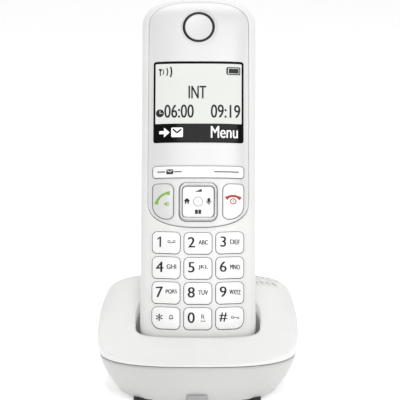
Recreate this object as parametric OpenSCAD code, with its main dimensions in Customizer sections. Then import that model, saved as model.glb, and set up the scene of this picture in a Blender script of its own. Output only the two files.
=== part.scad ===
// Cordless telephone handset standing in its charging base.
// Millimetres, +Z up, the keypad faces -Y. The origin is on the table,
// under the middle of the box that holds the docked phone and its base.
// Handset pieces are drawn in the handset's own frame: x across the face,
// y from its lower end to its top, z out of the face, with z = 0 on the
// plane where the front and rear shells meet.

/* [Handset] */
// Length of the handset from end to end
handset_l = 156; // [130:1:190]
// Width of the handset across the keypad
handset_w = 49; // [41:0.5:60]
// Height of the face above the parting plane
crown_h = 9; // [8.5:0.1:11]
// Depth of the back below the parting plane
back_h = 15; // [14.5:0.1:19]
// Wall thickness of the handset shells
handset_wall = 2; // [1.6:0.1:2.4]
// Squareness of the handset's cross-section
section_power = 3.2; // [2.6:0.1:4]
// Length of the rounded top end
top_round = 13; // [10:0.5:18]
// Length of the rounded lower end
bottom_round = 12; // [10:0.5:14]

/* [Face] */
// Thickness of the glossy faceplate
faceplate_t = 1.15; // [0.9:0.05:1.3]
// Width of the shell's bare band beside the faceplate
face_band = 3.1; // [2.4:0.1:4]
// Height of the faceplate's rounded lower end
chin_round = 12; // [8:0.5:16]
// Height of the display window
display_h = 35.9; // [12:0.5:50]
// Outer radius of the earpiece ring
ear_r = 6.9; // [5.5:0.1:8]
// Width of the earpiece ring
ear_ring_w = 0.95; // [0.7:0.05:1.5]

/* [Keys] */
// Distance from the side of the handset to the outer keys
key_margin = 5.2; // [4.8:0.1:6.5]
// Gap between neighbouring keys
key_gap = 1.75; // [1.2:0.05:2.2]
// Height of a number key
key_h = 9.2; // [7.5:0.1:10]
// Distance between rows of number keys
row_pitch = 10.82; // [10.6:0.02:12]
// Distance from the lower end to the middle of the lowest row
first_row = 14.3; // [13.5:0.1:17]
// Slant of the outer keys, outer edge above inner edge
key_slant = 0.7; // [0:0.1:1]
// Height that a key stands above the face
key_rise = 0.5; // [0.2:0.05:0.8]
// Travel of a key
key_travel = 0.8; // [0.4:0.1:0.8]
// Clearance around each key in its hole
key_clear = 0.3; // [0.25:0.05:0.4]
// Side of the square navigation pad
nav_side = 13.3; // [11:0.1:14]
// Width of the bezel around the navigation pad
bezel_w = 1; // [0.8:0.1:1.4]
// Clearance between the navigation pad and its bezel
nav_clear = 0.4; // [0.35:0.05:0.6]

/* [Battery] */
// Diameter of one cell
cell_d = 10.5; // [10:0.1:10.5]
// Length of one cell without its button
cell_l = 43.7; // [42:0.1:44.5]
// Thickness of the battery cover
cover_t = 1.6; // [1.2:0.1:1.8]

/* [Base] */
// Width of the base
base_w = 85; // [70:1:102]
// Depth of the base
base_d = 90; // [75:1:108]
// Height of the seam between the base's shells
seam_z = 16.2; // [15.6:0.1:17]
// Height at which the base is widest
waist_z = 22.2; // [21:0.1:24]
// Wall thickness of the base shells
base_wall = 2.2; // [1.8:0.1:2.4]
// Height of the lip in front of the handset
lip_z = 22.9; // [22:0.1:24.5]
// Lean of the docked handset back from upright, in degrees
lean = 22; // [16:1:26]
// Gap between the handset's sides and the cradle
side_gap = 1.9; // [1:0.1:2.5]
// Gap between the handset and the cradle's front and back
face_gap = 0.8; // [0.6:0.1:1.2]
// Height of the rubber feet below the base
foot_h = 1.2; // [0.8:0.1:2]
// Radius of one rubber foot
foot_r = 4; // [3:0.1:5]

/* [Hidden] */

gap = 0.1;         // between two fixed pieces that lie face to face
big = 400;         // reaches past the whole object

// Powers of the rounded ends and how the section changes along the handset
top_power = 2.7;
bottom_power = 2.6;
half_w = handset_w / 2;
fall_from = handset_l - 46;
function crown(y) = crown_h - 0.0012 * pow(max(0, y - fall_from), 2)
    - 0.001 * pow(max(0, 30 - y), 2);
function back(y) = back_h - 3 * pow((y - 70) / (handset_l - 71), 2);

// How far the section has closed in at y, from 1 along the middle to 0 at an end
function closed(t, p) = pow(max(0, 1 - pow(min(1, max(0, t)), p)), 1 / p);
function taper(y) = closed((y - handset_l + top_round) / top_round, top_power)
    * closed((bottom_round - y) / bottom_round, bottom_power);
function bend(v, e) = sign(v) * pow(abs(v), e);

// Height of the face above the parting plane at (x, y)
function face_z(x, y) = let (e = taper(y))
    crown(y) * e * closed(abs(x) / (half_w * e), section_power);

// Stations along the handset as [y, closing-in], for a body inset by d
end_steps = 5;
mid_steps = 5;
first_angle = 9;
function stations(d) = concat(
    [for (i = [0:end_steps - 1]) let (
        a = first_angle + (90 - first_angle) * i / end_steps)
        [bottom_round - (bottom_round - d) * pow(cos(a), 2 / bottom_power),
            pow(sin(a), 2 / bottom_power)]],
    [for (i = [0:mid_steps])
        [bottom_round + (handset_l - bottom_round - top_round) * i / mid_steps, 1]],
    [for (i = [1:end_steps]) let (
        a = 90 - (90 - first_angle) * i / end_steps)
        [handset_l - top_round + (top_round - d) * pow(cos(a), 2 / top_power),
            pow(sin(a), 2 / top_power)]]);

// Closed surface through rings of equal length, with a fan of triangles at
// each end
module loft(rings) {
    n = len(rings[0]);
    last = len(rings) - 1;
    hub = (last + 1) * n;
    polyhedron(
        points = concat([for (r = rings) each r], [middle(rings[0]), middle(rings[last])]),
        faces = concat(
            [for (k = [0:last - 1], i = [0:n - 1]) let (j = (i + 1) % n)
                each [[k * n + i, k * n + j, (k + 1) * n + j],
                    [k * n + i, (k + 1) * n + j, (k + 1) * n + i]]],
            [for (i = [0:n - 1]) [hub, (i + 1) % n, i]],
            [for (i = [0:n - 1]) [hub + 1, last * n + i, last * n + (i + 1) % n]]));
}

// The handset's outer form, moved inwards by d
ring_steps = 32;
module handset_body(d) {
    e = 2 / section_power;
    loft([for (s = stations(d))
        [for (i = [0:ring_steps - 1]) let (
            a = 360 * i / ring_steps,
            h = sin(a) > 0 ? crown(s[0]) - d : back(s[0]) - d)
            [(half_w - d) * s[1] * bend(cos(a), e), s[0], h * s[1] * bend(sin(a), e)]]]);
}

module front_half() {
    intersection() {
        children();
        translate([-big / 2, -big / 2, 0])
            cube([big, big, big]);
    }
}

// Polygon whose corners are rounded by their own radii
corner_steps = 3;
function unit(v) = v / norm(v);
function rounded(pts, radii) = let (n = len(pts))
    [for (k = [0:n - 1]) let (
        p = pts[k],
        a = unit(pts[(k + n - 1) % n] - p),
        b = unit(pts[(k + 1) % n] - p),
        half = acos(a * b) / 2,
        c = p + unit(a + b) * radii[k] / sin(half),
        start = atan2((p + a * radii[k] / tan(half) - c).y, (p + a * radii[k] / tan(half) - c).x),
        sweep = 180 - 2 * half)
        each [for (i = [0:corner_steps])
            c + radii[k] * [cos(start + sweep * i / corner_steps),
                sin(start + sweep * i / corner_steps)]]];
function box_outline(w, h, r) = rounded(
    [[-w / 2, -h / 2], [w / 2, -h / 2], [w / 2, h / 2], [-w / 2, h / 2]], [r, r, r, r]);
function moved(pts, by) = [for (p = pts) p + by];
function middle(pts) = let (s = [for (p = pts) 1] * pts) s / len(pts);

// The same outline with its long edges divided, so that they follow the face
edge_step = 4;
function fine(pts) = let (n = len(pts))
    [for (i = [0:n - 1]) let (
        a = pts[i],
        b = pts[(i + 1) % n],
        cuts = max(1, ceil(norm(b - a) / edge_step)))
        each [for (k = [0:cuts - 1]) a + (b - a) * k / cuts]];

// Ring of points on the face, drawn in towards c and raised by rise. Outlines
// run anticlockwise and rings clockwise.
function face_ring(outline, c, share, inset, rise) = [for (i = [len(outline) - 1:-1:0]) let (
    p = outline[i],
    q = c + (p - c) * share * (1 - inset / norm(p - c)))
    [q.x, q.y, face_z(q.x, q.y) + rise]];

// Solid under the face: its top follows the face, raised by rise and eased at
// the rim, and its floor is flat at z = floor_z
rim_ease = 0.35;
module face_solid(outline, rise, floor_z) {
    c = middle(outline);
    rim = fine(outline);
    loft(concat(
        [[for (i = [len(rim) - 1:-1:0]) [rim[i].x, rim[i].y, floor_z]]],
        [face_ring(rim, c, 1, 0, rise - rim_ease)],
        [for (f = [1, 0.5]) face_ring(rim, c, f, rim_ease, rise)]));
}

// Panel of even thickness t whose both sides follow the face
module face_panel(outline, t) {
    c = middle(outline);
    rim = fine(outline);
    shares = [0.25, 0.5, 0.75, 1];
    loft(concat(
        [for (f = shares) face_ring(rim, c, f, 0, -t)],
        [for (k = [3:-1:0]) face_ring(rim, c, shares[k], 0, 0)]));
}

// Hole through the face for an outline, with its clearance
module face_hole(outline, clear) {
    translate([0, 0, -big / 8])
        linear_extrude(big / 4)
            hull()
                offset(delta = clear)
                    polygon(outline);
}

// ---- Layout of the face, in the handset's frame ----
key_w = (handset_w - 2 * key_margin - 2 * key_gap) / 3;
column = key_w + key_gap;
key_r = 1.95;
key_round = 4;     // the outer lower corner of the two lowest outer keys
pad_top = first_row + 3 * row_pitch + key_h / 2 + key_slant / 2;
chin_y = pad_top + 1.8;
nav_y = chin_y + 10.9;
call_w = key_w - 2.95;
call_h = 15.2;
call_x = handset_w / 2 - key_margin - call_w / 2;
call_y = nav_y + 0.3;
softkey_w = handset_w - 2 * key_margin;
softkey_h = 5;
softkey_y = call_y + call_h / 2 + 2.7 + softkey_h / 2;
display_w = softkey_w - 0.2;
display_bottom = softkey_y + softkey_h / 2 + 10.5;
// The display keeps its own height, and gives way to a short handset
ear_y = handset_l - 13.9;
display_fit_h = min(display_h, ear_y - ear_r - 8.6 - display_bottom);
display_y = display_bottom + display_fit_h / 2;
face_top = handset_l - 2;
face_half = half_w - face_band;

function number_outline(col, row) = let (
    s = key_slant / 2,
    l = col == 0 ? s : -s,
    r = col == 2 ? s : -s,
    w = key_w / 2,
    h = key_h / 2)
    moved(rounded([[-w, -h + l], [w, -h + r], [w, h + r], [-w, h + l]],
        [col == 0 && row == 0 ? key_round : key_r,
            col == 2 && row == 0 ? key_round : key_r, key_r, key_r]),
        [(col - 1) * column, first_row + row * row_pitch]);
// side = -1 for the talk key on the left, 1 for the end key on the right
function call_outline(side) = let (
    w = call_w / 2,
    h = call_h / 2,
    radii = side < 0 ? [6.1, 2.2, 2.8, 1.5] : [2.2, 6.1, 1.5, 2.8])
    moved(rounded([[-w, -h], [w, -h], [w, h], [-w, h]], radii), [side * call_x, call_y]);
function softkey_outline() = moved(box_outline(softkey_w, softkey_h, 1.25), [0, softkey_y]);
nav_w = nav_side + 2 * (nav_clear + bezel_w);
bezel_stretch = 0.6;   // the bezel is a little taller than it is wide
function bezel_outline() = moved(
    box_outline(nav_w, nav_w + bezel_stretch, 2.9), [0, nav_y]);
function pad_outline() = moved(box_outline(nav_side, nav_side, 1.7), [0, nav_y]);
function display_outline() = moved(box_outline(display_w, display_fit_h, 1), [0, display_y]);

// Outline of the faceplate: it follows the handset's top end above, and ends
// below in a wide rounded chin
plate_steps = 9;
function plate_outline(d) = concat(
    [for (i = [0:plate_steps]) let (a = 180 + 180 * i / plate_steps)
        [(face_half + d) * bend(cos(a), 0.8),
            chin_y + chin_round + (chin_round + d) * bend(sin(a), 0.8)]],
    [for (i = [0:plate_steps]) let (a = 180 * i / plate_steps)
        [(face_half + d) * bend(cos(a), 2 / 2.6),
            face_top - top_round + 1 + (top_round - 1 + d) * bend(sin(a), 2 / 2.6)]]);

// Every hole that both the faceplate and the shell below it need
module upper_holes(clear) {
    face_hole(softkey_outline(), clear);
    face_hole(call_outline(-1), clear);
    face_hole(call_outline(1), clear);
}

module number_holes() {
    for (col = [0:2], row = [0:3])
        face_hole(number_outline(col, row), key_clear);
}

// ---- Heights inside the handset, above the parting plane ----
board_z = 0.4;
board_t = 1.2;
dome_h = 0.3;
mat_z = board_z + board_t + dome_h + 0.05;
mat_t = 0.75;
flange_z = mat_z + mat_t + key_travel + gap;
flange_t = 0.7;
flange_w = 0.55;   // how far a key's flange reaches past its outline
stem_z = mat_z + key_travel;
stem_r = 1.7;
stem_hole_r = 2.6;
seat_d = faceplate_t + 0.05;
lcd_top = crown_h - seat_d - 1.7;
lcd_t = 2.4;

// A key: cap that follows the face, flange that keeps it in, stem to its dome
module key_solid(outline, stems) {
    face_solid(outline, key_rise, flange_z);
    translate([0, 0, flange_z])
        linear_extrude(flange_t)
            offset(delta = flange_w)
                polygon(outline);
    for (s = stems)
        translate([s.x, s.y, stem_z])
            cylinder(h = flange_z + gap - stem_z, r = stem_r, $fn = 32);
}

module number_key(col, row) {
    docked()
        color("whitesmoke")
            key_solid(number_outline(col, row), [middle(number_outline(col, row))]);
}

// ---- Docked pose ----
// The lip point fixes the handset's place: its face passes face_gap behind it
lip_y = -base_d / 6;
lip_on_face = 6;
dock_y = lip_y - lip_on_face * sin(lean) + (crown(lip_on_face) + face_gap) * cos(lean);
dock_z = lip_z - lip_on_face * cos(lean) - (crown(lip_on_face) + face_gap) * sin(lean);
handset_rear = max([for (s = stations(0))
    dock_y + s[0] * sin(lean) + back(s[0]) * s[1] * cos(lean)]);
shift_y = -(handset_rear - base_d / 2) / 2;

module placed() {
    translate([0, shift_y, 0])
        children();
}
module docked() {
    placed()
        translate([0, dock_y, dock_z])
            rotate([90 - lean, 0, 0])
                children();
}

// ---- Form of the base ----
plan_power = 2.9;
top_edge_power = 5.2;
floor_half_x = base_w / 2 - 9.3;
floor_half_y = base_d / 2 - 3.5;
flank_power = 2.2;
crest_y = 23.5 * base_d / 90;
ramp = 0.25;
rise_c = 0.0068;
front_edge = seam_z + 0.6;     // the band's edge, just above the seam
front_step = 0.7;              // how far the band rises over its rounded edge
front_slope = (lip_z - front_edge - front_step) / (base_d / 2 + lip_y);
function smooth(a, b, v) = let (t = min(1, max(0, (v - a) / (b - a)))) t * t * (3 - 2 * t);
// Height of the shoulders over y, rising from the lip to the crest behind
function shoulder(y) = let (r = min(y, crest_y) - lip_y)
    lip_z + ramp * r + rise_c * pow(max(0, r), 2);
// 1 on the sloping band in front of the handset, 0 on the shoulders
function band(x, y) = let (
    s = 0.853 * (abs(x) - (half_w + 0.5)) + 0.521 * (y - lip_y - 3))
    (1 - smooth(-6, 6, s)) * (1 - smooth(-8, 8, y));
// How far the flank has drawn in at height z, 0 at the waist and 1 at the floor
function flank(z) = pow(max(0, waist_z - z) / (waist_z - foot_h), flank_power);

base_steps = 44;
wall_levels = 2;
flank_levels = 4;
top_levels = 8;
function plan_x(a) = bend(cos(a), 2 / plan_power);
function plan_y(a) = bend(sin(a), 2 / plan_power);
function side_point(a, z, d) = let (f = flank(z))
    [(base_w / 2 + (floor_half_x - base_w / 2) * f - d) * plan_x(a),
        (base_d / 2 + (floor_half_y - base_d / 2) * f - d) * plan_y(a), z];
function band_z(y) = lip_z + front_slope * (y - lip_y);
// Height at which the flank turns over into the top: the waist, or where the
// top itself is lower than that
function edge_z(a) = let (
    p = side_point(a, waist_z, 0),
    b = band(p.x, p.y),
    top = b * band_z(p.y) + (1 - b) * shoulder(p.y))
    max(front_edge, min(waist_z, top - front_step));
function top_point(a, t, d) = let (
    r = pow(cos(t), 2 / top_edge_power),
    p = side_point(a, edge_z(a), d),
    x = p.x * r,
    y = p.y * r,
    b = band(x, y),
    low = edge_z(a) + (shoulder(y) - edge_z(a) - d) * pow(sin(t), 2 / top_edge_power),
    front = edge_z(a) + (band_z(y) - edge_z(a) - d)
        * pow(sin(t), 2 / top_edge_power))
    [x, y, max(b * front + (1 - b) * low, d > 0 ? seam_z + 0.2 : 0)];

// The whole base as one closed form, moved inwards by d
module base_form(d) {
    low = foot_h + d;
    placed()
        loft(concat(
            [for (k = [0:flank_levels]) let (z = low + (seam_z - low) * k / flank_levels)
                [for (i = [0:base_steps - 1]) side_point(-360 * i / base_steps, z, d)]],
            [for (k = [1:wall_levels])
                [for (i = [0:base_steps - 1]) let (
                    a = -360 * i / base_steps,
                    z = seam_z + (edge_z(a) - seam_z) * k / wall_levels)
                    side_point(a, z, d)]],
            [for (k = [1:top_levels])
                [for (i = [0:base_steps - 1])
                    top_point(-360 * i / base_steps, 88 * k / top_levels, d)]]));
}

module above(z) {
    intersection() {
        children();
        translate([-big / 2, -big / 2, z])
            cube([big, big, big]);
    }
}
module below(z) {
    intersection() {
        children();
        translate([-big / 2, -big / 2, z - big])
            cube([big, big, big]);
    }
}

// Cross-section of the handset at its fullest, grown by the cradle's gaps
module cradle_section(grow) {
    e = 2 / section_power;
    polygon([for (i = [0:47]) let (
        a = 360 * i / 48,
        h = sin(a) > 0 ? crown_h + face_gap : back_h + face_gap)
        [(half_w + side_gap + grow) * bend(cos(a), e), (h + grow) * bend(sin(a), e)]]);
}
// Prism of that section along the handset from y0 to y1
module cradle_prism(grow, y0, y1) {
    docked()
        translate([0, y1, 0])
            rotate([90, 0, 0])
                linear_extrude(y1 - y0)
                    cradle_section(grow);
}

cradle_floor = -0.6;
cradle_wall = 1.8;
contact_x = 9;
contact_z = -5;
slot_w = 4.2;
slot_h = 11;
pad_w = 4;
pad_h = 5.6;
pad_face = 0.55;   // the charging pads' face, from the handset's lower end

post_front = [27, -27];
post_rear = [28, 28];
post_top = 9;
post_r = 3;
screw_r = 1.1;
module at_posts() {
    placed()
        for (p = [post_front, post_rear], s = [-1, 1])
            translate([s * p.x * base_w / 85, p.y * base_d / 90, 0])
                children();
}

// Two rows of vent slots just in front of the crest, beside the handset
vent_count = 9;
vent_pitch = 2.6;
vent_rows = 2.8;   // distance between the two rows
vent_x = 11.5;
module vents() {
    placed()
        for (row = [0, 1], i = [0:vent_count - 1])
            translate([vent_x + i * vent_pitch, crest_y - 2.6 + row * vent_rows, 30])
                rotate([0, 0, -28])
                    linear_extrude(20)
                        hull()
                            for (s = [-0.7, 0.7])
                                translate([s, 0])
                                    circle(r = 0.55, $fn = 12);
}

module base_upper_shell() {
    color("white")
        difference() {
            union() {
                above(seam_z)
                    difference() {
                        base_form(0);
                        base_form(base_wall);
                    }
                intersection() {
                    base_form(0);
                    cradle_prism(cradle_wall, cradle_floor - cradle_wall, 70);
                }
                intersection() {
                    base_form(base_wall / 2);
                    at_posts()
                        translate([0, 0, post_top])
                            cylinder(h = 60, r = post_r, $fn = 24);
                }
            }
            cradle_prism(0, cradle_floor, 80);
            at_posts()
                cylinder(h = foot_h + base_screw_l + 3, r = screw_r + 0.05, $fn = 16);
            docked()
                for (s = [-1, 1])
                    translate([s * contact_x - slot_w / 2, -10, contact_z - slot_h / 2])
                        cube([slot_w, 10, slot_h]);
            vents();
        }
}

// Feet stand near the corners of the flat underside
foot_x = 22.5;
foot_y = 33;
foot_sink = 0.4;
module at_feet() {
    placed()
        for (s = [-1, 1], t = [-1, 1])
            translate([s * (foot_x + (base_w - 85) / 2), t * foot_y * base_d / 90, 0])
                children();
}

jack_x = 12;
jack_w = 13;
jack_d = 15;
jack_h = 10.4;
jack_z = 3.7;
jack_rear = base_d / 2 - 2.6;
board_y0 = 12.8;
board_y1 = base_d / 2 - 7;
board_half = 25 * base_w / 85;
base_board_z = jack_z + jack_h + 0.3;
paging_w = 8.8;
paging_h = 3.4;
paging_l = 6.4;
paging_z = 0.7;
paging_out = 1.6;  // how far the key stands out of the base
paging_y = base_d / 2 - 3.5 * flank(paging_z + paging_h / 2) + paging_out;
base_screw_l = 12;

// Rounded slot through the floor, along y, from the middle of its round ends
module floor_slot(x, y, l, r) {
    placed()
        translate([x, y, -1])
            linear_extrude(10)
                hull() {
                    translate([0, -l / 2])
                        circle(r = r, $fn = 16);
                    translate([0, l / 2])
                        circle(r = r, $fn = 16);
                }
}

module base_lower_shell() {
    color("gainsboro")
        difference() {
            union() {
                below(seam_z - gap)
                    difference() {
                        base_form(0);
                        base_form(base_wall);
                    }
                at_posts()
                    translate([0, 0, foot_h + 0.2])
                        cylinder(h = post_top - gap - foot_h - 0.2, r = post_r + 0.6, $fn = 24);
                placed()
                    for (s = [-1, 1])
                        translate([s * (board_half - 5), board_y0 + 4, foot_h + 1])
                            cylinder(h = base_board_z - foot_h - 1, r = 2.2, $fn = 20);
            }
            at_feet()
                translate([0, 0, foot_h - 1])
                    cylinder(h = 1 + foot_sink + 0.02, r = foot_r + 0.1, $fn = 32);
            at_posts() {
                translate([0, 0, 0])
                    cylinder(h = 20, r = screw_r + 0.25, $fn = 16);
                cylinder(h = foot_h + 2.2, r = 2.6, $fn = 20);
            }
            placed() {
                for (s = [-1, 1])
                    translate([s * jack_x - jack_w / 2 - gap, jack_rear - 6, jack_z - gap])
                        cube([jack_w + 2 * gap, 16, jack_h + 2 * gap]);
                translate([-paging_w / 2 - key_clear, -paging_y - 1, -1])
                    cube([paging_w + 2 * key_clear, paging_l + 3, paging_z + paging_h + 1.3]);
            }
            for (s = [-1, 1])
                floor_slot(s * 14, 4, 6, 2.4);
            for (i = [-3:3])
                floor_slot(i * 3.4, -18, 8, 0.7);
        }
}

module base_board() {
    placed()
        color("seagreen")
            difference() {
                translate([-board_half, board_y0, base_board_z])
                    cube([2 * board_half, board_y1 - board_y0, 1.6]);
                for (s = [-1, 1]) {
                    translate([s * post_rear.x * base_w / 85, post_rear.y * base_d / 90, 0])
                        cylinder(h = 60, r = post_r + 1, $fn = 24);
                    translate([s * (board_half - 5), board_y0 + 4, 0])
                        cylinder(h = 60, r = 1.1, $fn = 20);
                }
            }
}

module base_shield_can() {
    placed()
        color("silver")
            difference() {
                translate([-9, board_y0 + 3, base_board_z + 1.6])
                    cube([22, 15, 3]);
                translate([-8.7, board_y0 + 3.3, base_board_z + 1.5])
                    cube([21.4, 14.4, 2.8]);
            }
}

// Two upright strips with a folded top, soldered on the board
module base_antenna() {
    placed()
        color("silver")
            for (x = [4 - board_half, board_half - 6.5])
                translate([x, board_y0 + 9, base_board_z + 1.6])
                    difference() {
                        cube([2.5, 9, 9]);
                        translate([-1, 0.5, -1])
                            cube([5, 9, 9.5]);
                    }
}

module base_feet() {
    at_feet()
        color([0.08, 0.08, 0.08])
            cylinder(h = foot_h + foot_sink, r = foot_r, $fn = 48);
}

module screw(shank_r, shank_l, head_r, head_h) {
    difference() {
        union() {
            cylinder(h = head_h, r = head_r, $fn = 32);
            cylinder(h = head_h + shank_l, r = shank_r, $fn = 24);
        }
        for (a = [0, 90])
            rotate([0, 0, a])
                translate([-head_r * 0.6, -0.25, -1])
                    cube([head_r * 1.2, 0.5, 1 + head_h * 0.5]);
    }
}

module base_screws() {
    at_posts()
        translate([0, 0, foot_h + 0.5])
            color("dimgray")
                screw(screw_r, base_screw_l, 2.3, 1.6);
}

// Modular socket: a box with a stepped opening in its rear face
jack_open_w = 10;
jack_open_h = 6.8;
module jack(shade) {
    color(shade)
        difference() {
            translate([-jack_w / 2, jack_rear - jack_d, jack_z])
                cube([jack_w, jack_d, jack_h]);
            translate([-jack_open_w / 2, jack_rear - jack_d + 2, jack_z + 1.4])
                cube([jack_open_w, jack_d, jack_open_h]);
            translate([-2, jack_rear - 9, jack_z + 0.8])
                cube([4, 10, 3]);
        }
    color("gold")
        for (i = [-1.5:1:1.5])
            translate([i * 1.1 - 0.2, jack_rear - jack_d + 1.5, jack_z + 6.4])
                cube([0.4, 8, 0.5]);
}
module power_jack() {
    placed()
        translate([jack_x, 0, 0])
            jack([0.15, 0.15, 0.15]);
}
module line_jack() {
    placed()
        translate([-jack_x, 0, 0])
            jack([0.25, 0.25, 0.25]);
}

// Leaf of a charging contact, seen from the side: y along the handset and z
// out of its face, a bump that reaches up to the handset's pad
leaf_t = 0.4;
leaf_w = 3;
module leaf(side) {
    docked()
        translate([side * contact_x - leaf_w / 2, 0, 0])
            rotate([0, 90, 0])
                rotate([0, 0, 90])
                    linear_extrude(leaf_w)
                        for (k = [0:3])
                            let (pts = [[-4.2, -12.5], [-4.2, -7.6], [0, -5.6], [0, -4.4], [-3, -2.4]])
                                hull()
                                    for (q = [pts[k], pts[k + 1]])
                                        translate([q.x + pad_face - leaf_t / 2 - 0.15, q.y])
                                            circle(r = leaf_t / 2, $fn = 12);
}
module charge_spring_left() {
    color("gold")
        leaf(-1);
}
module charge_spring_right() {
    color("gold")
        leaf(1);
}

module paging_key() {
    placed()
        color("darkgray")
            translate([0, -paging_y, paging_z])
                linear_extrude(paging_h)
                    hull() {
                        translate([-paging_w / 2, paging_l - 1])
                            square([paging_w, 1]);
                        for (s = [-1, 1])
                            translate([s * (paging_w / 2 - 1.5), 1.5])
                                circle(r = 1.5, $fn = 24);
                    }
}
module paging_switch() {
    placed()
        color([0.2, 0.2, 0.2])
            translate([-3, -paging_y + paging_l + 1.2, foot_h + base_wall])
                cube([6, 5, 4]);
}

// ---- Handset ----
ringer_y = handset_l - 30;
ringer_r = 9;
ringer_z = handset_wall + 0.25 - back(ringer_y + ringer_r);
slot_count = 7;
cover_y0 = 46.5;
cover_l = 62;
cover_half = half_w - 7.8;
cover_gap = 0.35;
pocket_wall = 1.4;
ledge_z = -9.2;    // floor of the pocket beside the cells
tray_z = -1.9;     // floor of the tray that holds the cells
cell_x = cell_d / 2 + 0.15;
cell_z = tray_z - cell_d / 2 - 0.15;
cell_y0 = cover_y0 + 9;
tray_half = cell_x + cell_d / 2 + 0.2;
tray_y0 = cell_y0 - 3.2;
tray_y1 = cell_y0 + cell_l + 4.2;
screw_x = tray_half + 3.1;
screw_y = softkey_y + softkey_h / 2 + 5.4;
case_screw_r = 0.9;
boss_r = 2.1;
boss_low = -1;
hinge_y = cover_y0 + 0.8;
hinge_z = -back(cover_y0) + 2.9;
hinge_r = 0.7;
hinge_reach = 0.7;  // how far a hinge pin stands out of the cover's side

// Frame on the face at height y along the handset, square to the surface
module on_face(y) {
    slope = atan((face_z(0, y + 0.5) - face_z(0, y - 0.5)));
    translate([0, y, face_z(0, y)])
        rotate([slope, 0, 0])
            children();
}

module at_screws(z) {
    for (s = [-1, 1])
        translate([s * screw_x, screw_y, z])
            children();
}

module handset_front_shell() {
    docked()
        color("white")
            difference() {
                union() {
                    front_half()
                        difference() {
                            handset_body(0);
                            handset_body(handset_wall);
                        }
                    intersection() {
                        handset_body(handset_wall / 2);
                        at_screws(boss_low)
                            cylinder(h = crown_h - boss_low, r = boss_r, $fn = 20);
                    }
                }
                // seat of the faceplate
                difference() {
                    linear_extrude(big / 8)
                        polygon(plate_outline(gap));
                    handset_body(seat_d);
                }
                number_holes();
                upper_holes(key_clear);
                face_hole(bezel_outline(), gap);
                face_hole(lcd_outline(0.2), 0);
                on_face(ear_y)
                    translate([0, 0, -5])
                        cylinder(h = 10, r = ear_r - 1.5, $fn = 40);
                at_screws(-3)
                    cylinder(h = 8, r = case_screw_r + 0.05, $fn = 16);
            }
}

// Sound slots in the back, over the ringer
module ringer_slots() {
    for (i = [0:slot_count - 1]) let (k = i - (slot_count - 1) / 2)
        translate([0, ringer_y + k * 2.2, -big / 8])
            linear_extrude(big / 8 - 1)
                hull()
                    for (s = [-1, 1])
                        translate([s * (6.5 - 0.55 * abs(k)), 0])
                            circle(r = 0.5, $fn = 12);
}

// Rounded outline of the battery cover, grown by clear
module cover_outline(clear) {
    translate([0, cover_y0 + cover_l / 2])
        offset(delta = clear)
            hull()
                for (s = [-1, 1], t = [-1, 1])
                    translate([s * (cover_half - 2), t * (cover_l / 2 - 2)])
                        circle(r = 2, $fn = 24);
}

module handset_rear_shell() {
    docked()
        color("white")
            difference() {
                union() {
                    difference() {
                        handset_body(0);
                        handset_body(handset_wall);
                        translate([-big / 2, -big / 2, -gap / 2])
                            cube([big, big, big]);
                    }
                    intersection() {
                        handset_body(handset_wall / 3);
                        union() {
                            translate([-cover_half - pocket_wall, cover_y0 - pocket_wall, -big / 8])
                                cube([2 * (cover_half + pocket_wall), cover_l + 2 * pocket_wall,
                                    big / 8 + ledge_z + 1.2]);
                            translate([-tray_half - 1, tray_y0 - 1, -big / 8])
                                cube([2 * tray_half + 2, tray_y1 - tray_y0 + 2,
                                    big / 8 + tray_z + 1]);
                        }
                    }
                }
                translate([0, 0, -big / 8])
                    linear_extrude(big / 8 + ledge_z)
                        cover_outline(cover_gap);
                translate([-tray_half, tray_y0, -big / 8])
                    cube([2 * tray_half, tray_y1 - tray_y0, big / 8 + tray_z]);
                // sockets for the cover's hinge pins
                translate([-cover_half - 1.2, hinge_y, hinge_z])
                    rotate([0, 90, 0])
                        cylinder(h = 2 * cover_half + 2.4, r = hinge_r + 0.15, $fn = 24);
                ringer_slots();
                at_screws(-20)
                    cylinder(h = 20, r = case_screw_r + 0.2, $fn = 16);
                // windows for the charging pads in the lower end
                for (s = [-1, 1])
                    translate([s * contact_x - pad_w / 2 - gap, -1, contact_z - pad_h / 2 - gap])
                        cube([pad_w + 2 * gap, 4, pad_h + 2 * gap]);
            }
}

// Grip ridges' grooves near the top of the cover
module cover_grooves() {
    for (i = [0:7])
        translate([0, cover_y0 + cover_l - 7 - i * 1.6, -back_h - 1])
            hull()
                for (s = [-1, 1])
                    translate([s * (6 - 0.5 * i), 0, 0])
                        cylinder(h = 1.5, r = 0.35, $fn = 12);
}

module battery_cover() {
    docked()
        color("white")
            difference() {
                union() {
                    intersection() {
                        handset_body(0);
                        translate([0, 0, -big / 8])
                            linear_extrude(big / 8 + ledge_z + 1)
                                cover_outline(0);
                    }
                    translate([-cover_half - hinge_reach, hinge_y, hinge_z])
                        rotate([0, 90, 0])
                            cylinder(h = 2 * (cover_half + hinge_reach), r = hinge_r, $fn = 32);
                }
                difference() {
                    handset_body(cover_t);
                    translate([-big / 2, hinge_y - 1, hinge_z - 3])
                        cube([big, 1.9, 4.2]);
                }
                // between the pins only the rolled edge is left
                difference() {
                    translate([-big / 2, cover_y0 - 5, -big / 8])
                        cube([big, hinge_y - cover_y0 + 5, big / 8]);
                    translate([-big / 2, hinge_y, hinge_z])
                        rotate([0, 90, 0])
                            cylinder(h = big, r = 1, $fn = 32);
                }
                cover_grooves();
            }
}

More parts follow.
